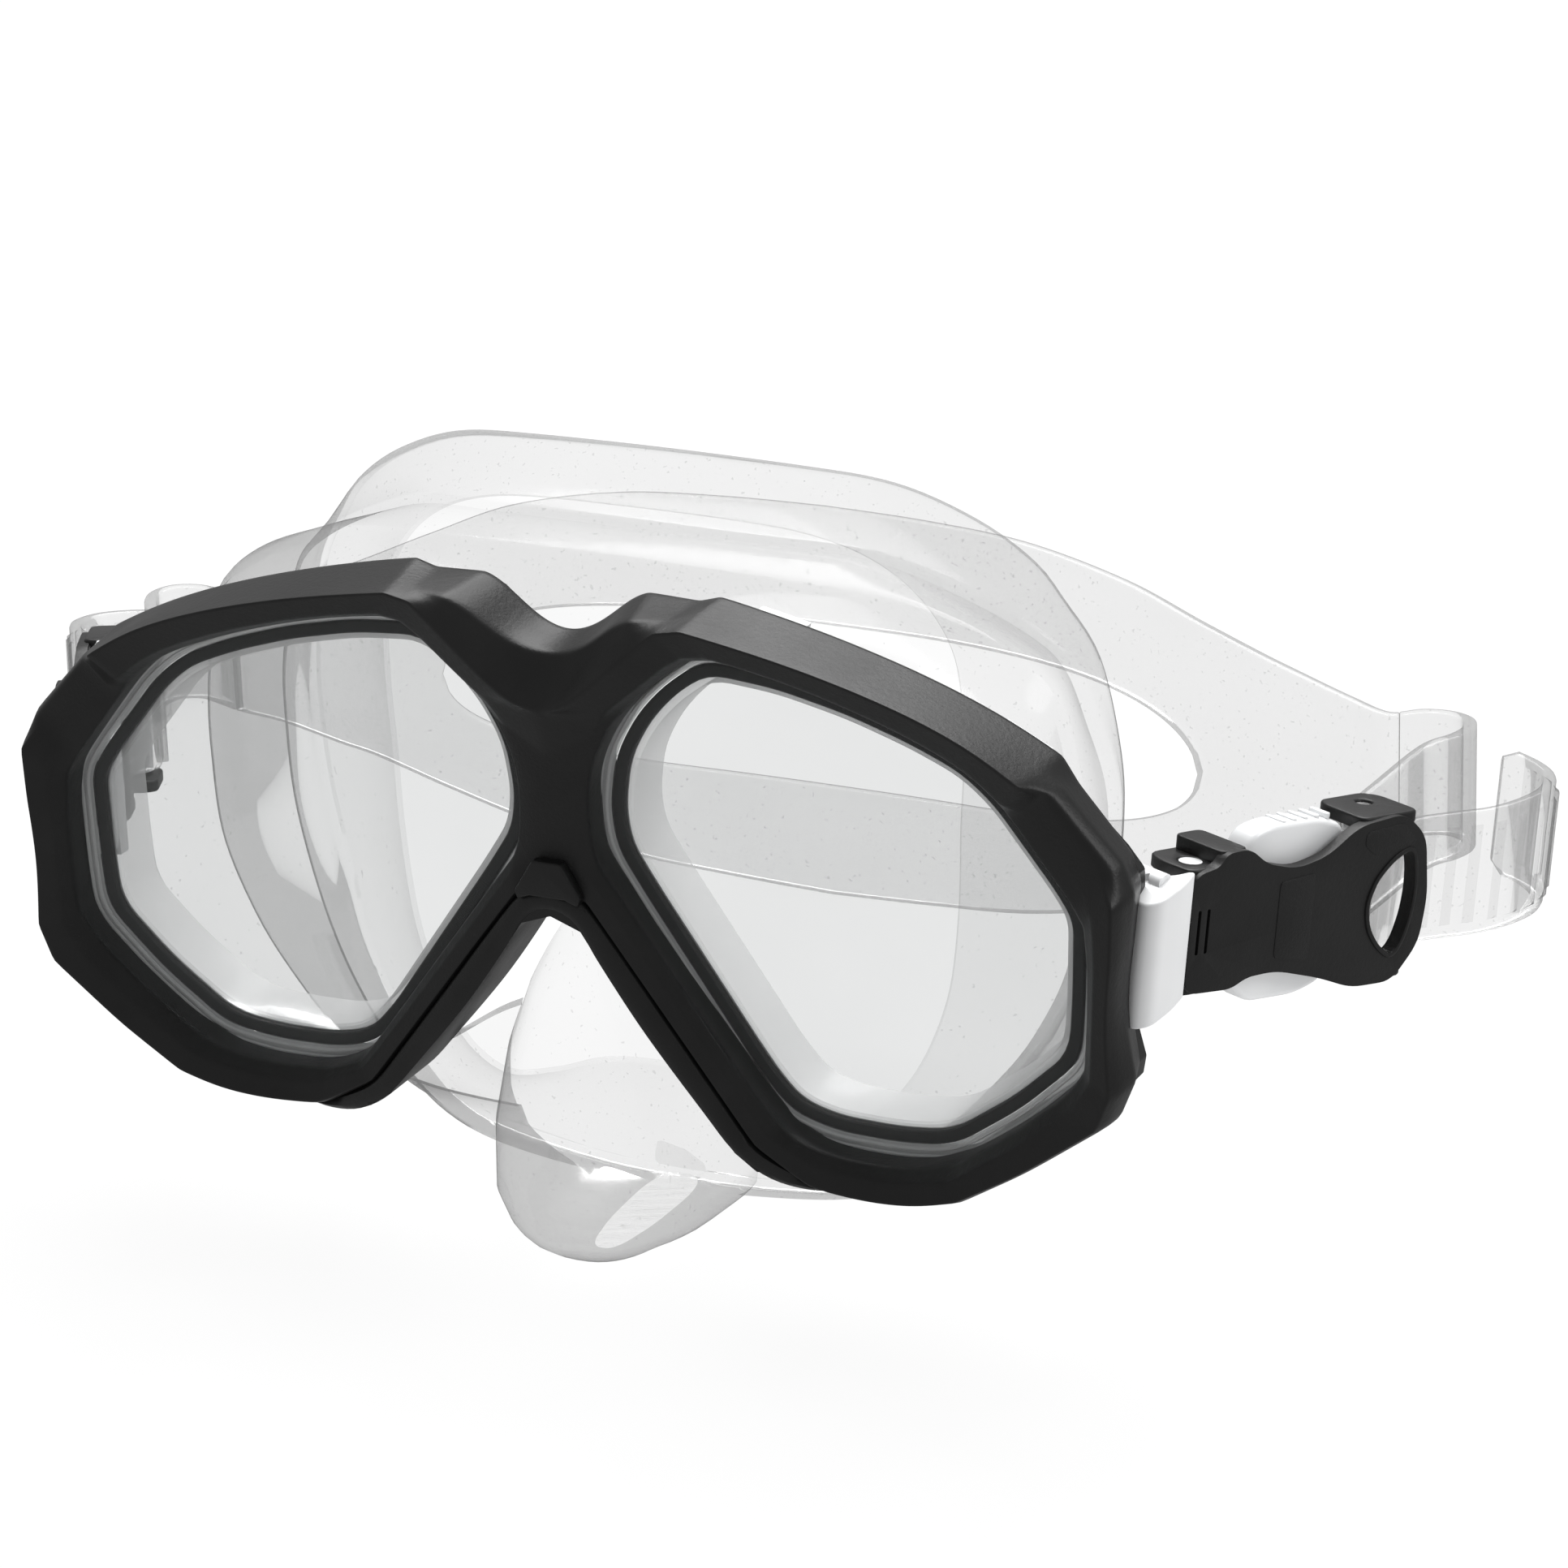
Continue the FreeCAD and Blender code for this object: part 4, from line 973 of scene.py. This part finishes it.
def lever(name, side):
    """White lever: finger tabs that stand out above and below the waist, ribbed on top."""
    flat, stacked = flat_on(side), stacked_on(side)
    parts = [plate("body", rounded_loop(LEVER, 2.2, 6), -2.6, 1.8, flat, WHITE, (), 0.8, 4)]
    for k in range(LEVER_RIBS):
        near = 14.8 + 2.0 * k
        far = near + 0.9
        rib = rounded_loop([(-2.2, near), (1.3, near), (1.3, far), (-2.2, far)], 0.35, 3)
        parts.append(plate("rib", rib, 11.4, 12.2, stacked, WHITE, (), 0.2, 2))
    whole = join(f"lever_tab_{name}", parts)
    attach(whole, f"lever_{name}")
    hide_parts(f"release_lever_{name}")


def bracket(name, side):
    """Rounded white block that carries the swivel pin's barrel on the side of the mask."""
    def leaning(x, y, z):
        return on_buckle(side, x, y, z + 0.55 * (y + 7.8))

    stacked = stacked_on(side)
    barrel, hole = circle(0, 0, 2.25), circle(0, 0, PIN_HOLE)
    parts = [plate("block", rounded_loop(BLOCK, 1.3, 6), -9.4, 7.4, leaning, WHITE, (), 0.8, 5),
             plate("neck", rounded_loop(NECK, 0.4, 4), -6.1, 6.1, stacked, WHITE, (), 0.4, 3),
             plate("barrel", barrel, -6.2, 6.2, stacked, WHITE, [hole], 0.25, 3)]
    whole = join(f"bracket_block_{name}", parts)
    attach(whole, "mask")


for name, side in SIDES.items():
    buckle(name, side)
    lever(name, side)
    bracket(name, side)


# ------------------------------------------------------------------------ looks of the carried nodes
LOOK = {"lens_": GLASS, "frame_latches": WHITE, "buckle_bracket": WHITE, "swivel_pin": WHITE,
        "strap_roller": WHITE, "lever_pin": STEEL, "lever_spring": STEEL, "roller_axle": STEEL,
        "lens_ring": BLACK, "back_frame": BLACK, "front_frame": BLACK, "bridge_clip": BLACK,
        "buckle_body": BLACK, "release_lever": WHITE, "skirt": CLEAR, "strap": STRAP}
for node_name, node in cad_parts.items():
    fits = max((key for key in LOOK if node_name.startswith(key)), key=len)
    node.data.materials.clear()
    node.data.materials.append(LOOK[fits])
    for face in node.data.polygons:
        face.use_smooth = True
    node.data.set_sharp_from_angle(angle=math.radians(32))


# --------------------------------------------------------------------------------------------- studio
def floor_material():
    material, tree, shader = new_material("floor")
    cloud = noise(tree, 8.0)
    colour = ramp(tree, cloud.outputs["Fac"], [(0.3, 0.93), (0.7, 0.95)])
    soft = ramp(tree, cloud.outputs["Fac"], [(0.3, 0.07), (0.7, 0.08)])
    tree.links.new(soft.outputs["Color"], shader.inputs["Base Color"])
    tree.links.new(colour.outputs["Color"], shader.inputs["Emission Color"])
    shader.inputs["Emission Strength"].default_value = 0.98
    shader.inputs["Roughness"].default_value = 0.9
    shader.inputs["Specular IOR Level"].default_value = 0.0
    return material


def area_light(name, spot, aim, size, power):
    lamp = bpy.data.lights.new(name, "AREA")
    lamp.shape = "DISK"
    lamp.size = size
    lamp.energy = power
    thing = bpy.data.objects.new(name, lamp)
    bpy.context.scene.collection.objects.link(thing)
    thing.location = spot
    thing.rotation_euler = (Vector(aim) - Vector(spot)).to_track_quat("-Z", "Y").to_euler()


FLOOR_HALF = 3
DOME_STRENGTH = 0.42
BACKDROP_STRENGTH = 1.0
FLOOR_CORNERS = [(-FLOOR_HALF, -FLOOR_HALF), (FLOOR_HALF, -FLOOR_HALF), (FLOOR_HALF, FLOOR_HALF),
                 (-FLOOR_HALF, FLOOR_HALF)]
floor = make_piece("floor", [(x, y, cad_low.z) for x, y in FLOOR_CORNERS], [(0, 1, 2, 3)],
                   [floor_material()])
world = bpy.data.worlds.new("studio")
world.use_nodes = True
bpy.context.scene.world = world
sky = world.node_tree
dome = sky.nodes["Background"]
dome.inputs["Color"].default_value = (1, 1, 1, 1)
dome.inputs["Strength"].default_value = DOME_STRENGTH
seen = sky.nodes.new("ShaderNodeBackground")
seen.inputs["Color"].default_value = (1, 1, 1, 1)
seen.inputs["Strength"].default_value = BACKDROP_STRENGTH
path = sky.nodes.new("ShaderNodeLightPath")
choice = sky.nodes.new("ShaderNodeMixShader")
sky.links.new(path.outputs["Is Camera Ray"], choice.inputs[0])
sky.links.new(dome.outputs["Background"], choice.inputs[1])
sky.links.new(seen.outputs["Background"], choice.inputs[2])
sky.links.new(choice.outputs["Shader"], sky.nodes["World Output"].inputs["Surface"])
floor.visible_glossy = False
area_light("top", (-0.1, 0.45, 1.0), (0, 0, 0), 1.1, 20.0)
area_light("side", (0.9, 0.1, 0.6), (0, 0, 0), 0.5, 3.0)

LENS_LENGTH = 139.75
SENSOR_WIDTH = 36.0
camera = bpy.data.objects.new("camera", bpy.data.cameras.new("camera"))
camera.data.lens = LENS_LENGTH
camera.data.sensor_width = SENSOR_WIDTH
bpy.context.scene.collection.objects.link(camera)
camera.matrix_world = Matrix((
    (0.90280, -0.12925, 0.41018, 0.3558),
    (0.42896, 0.33883, -0.83737, -0.7040),
    (-0.03075, 0.93193, 0.36134, 0.3032),
    (0, 0, 0, 1)))
bpy.context.scene.camera = camera
bpy.context.scene.view_settings.view_transform = "Standard"
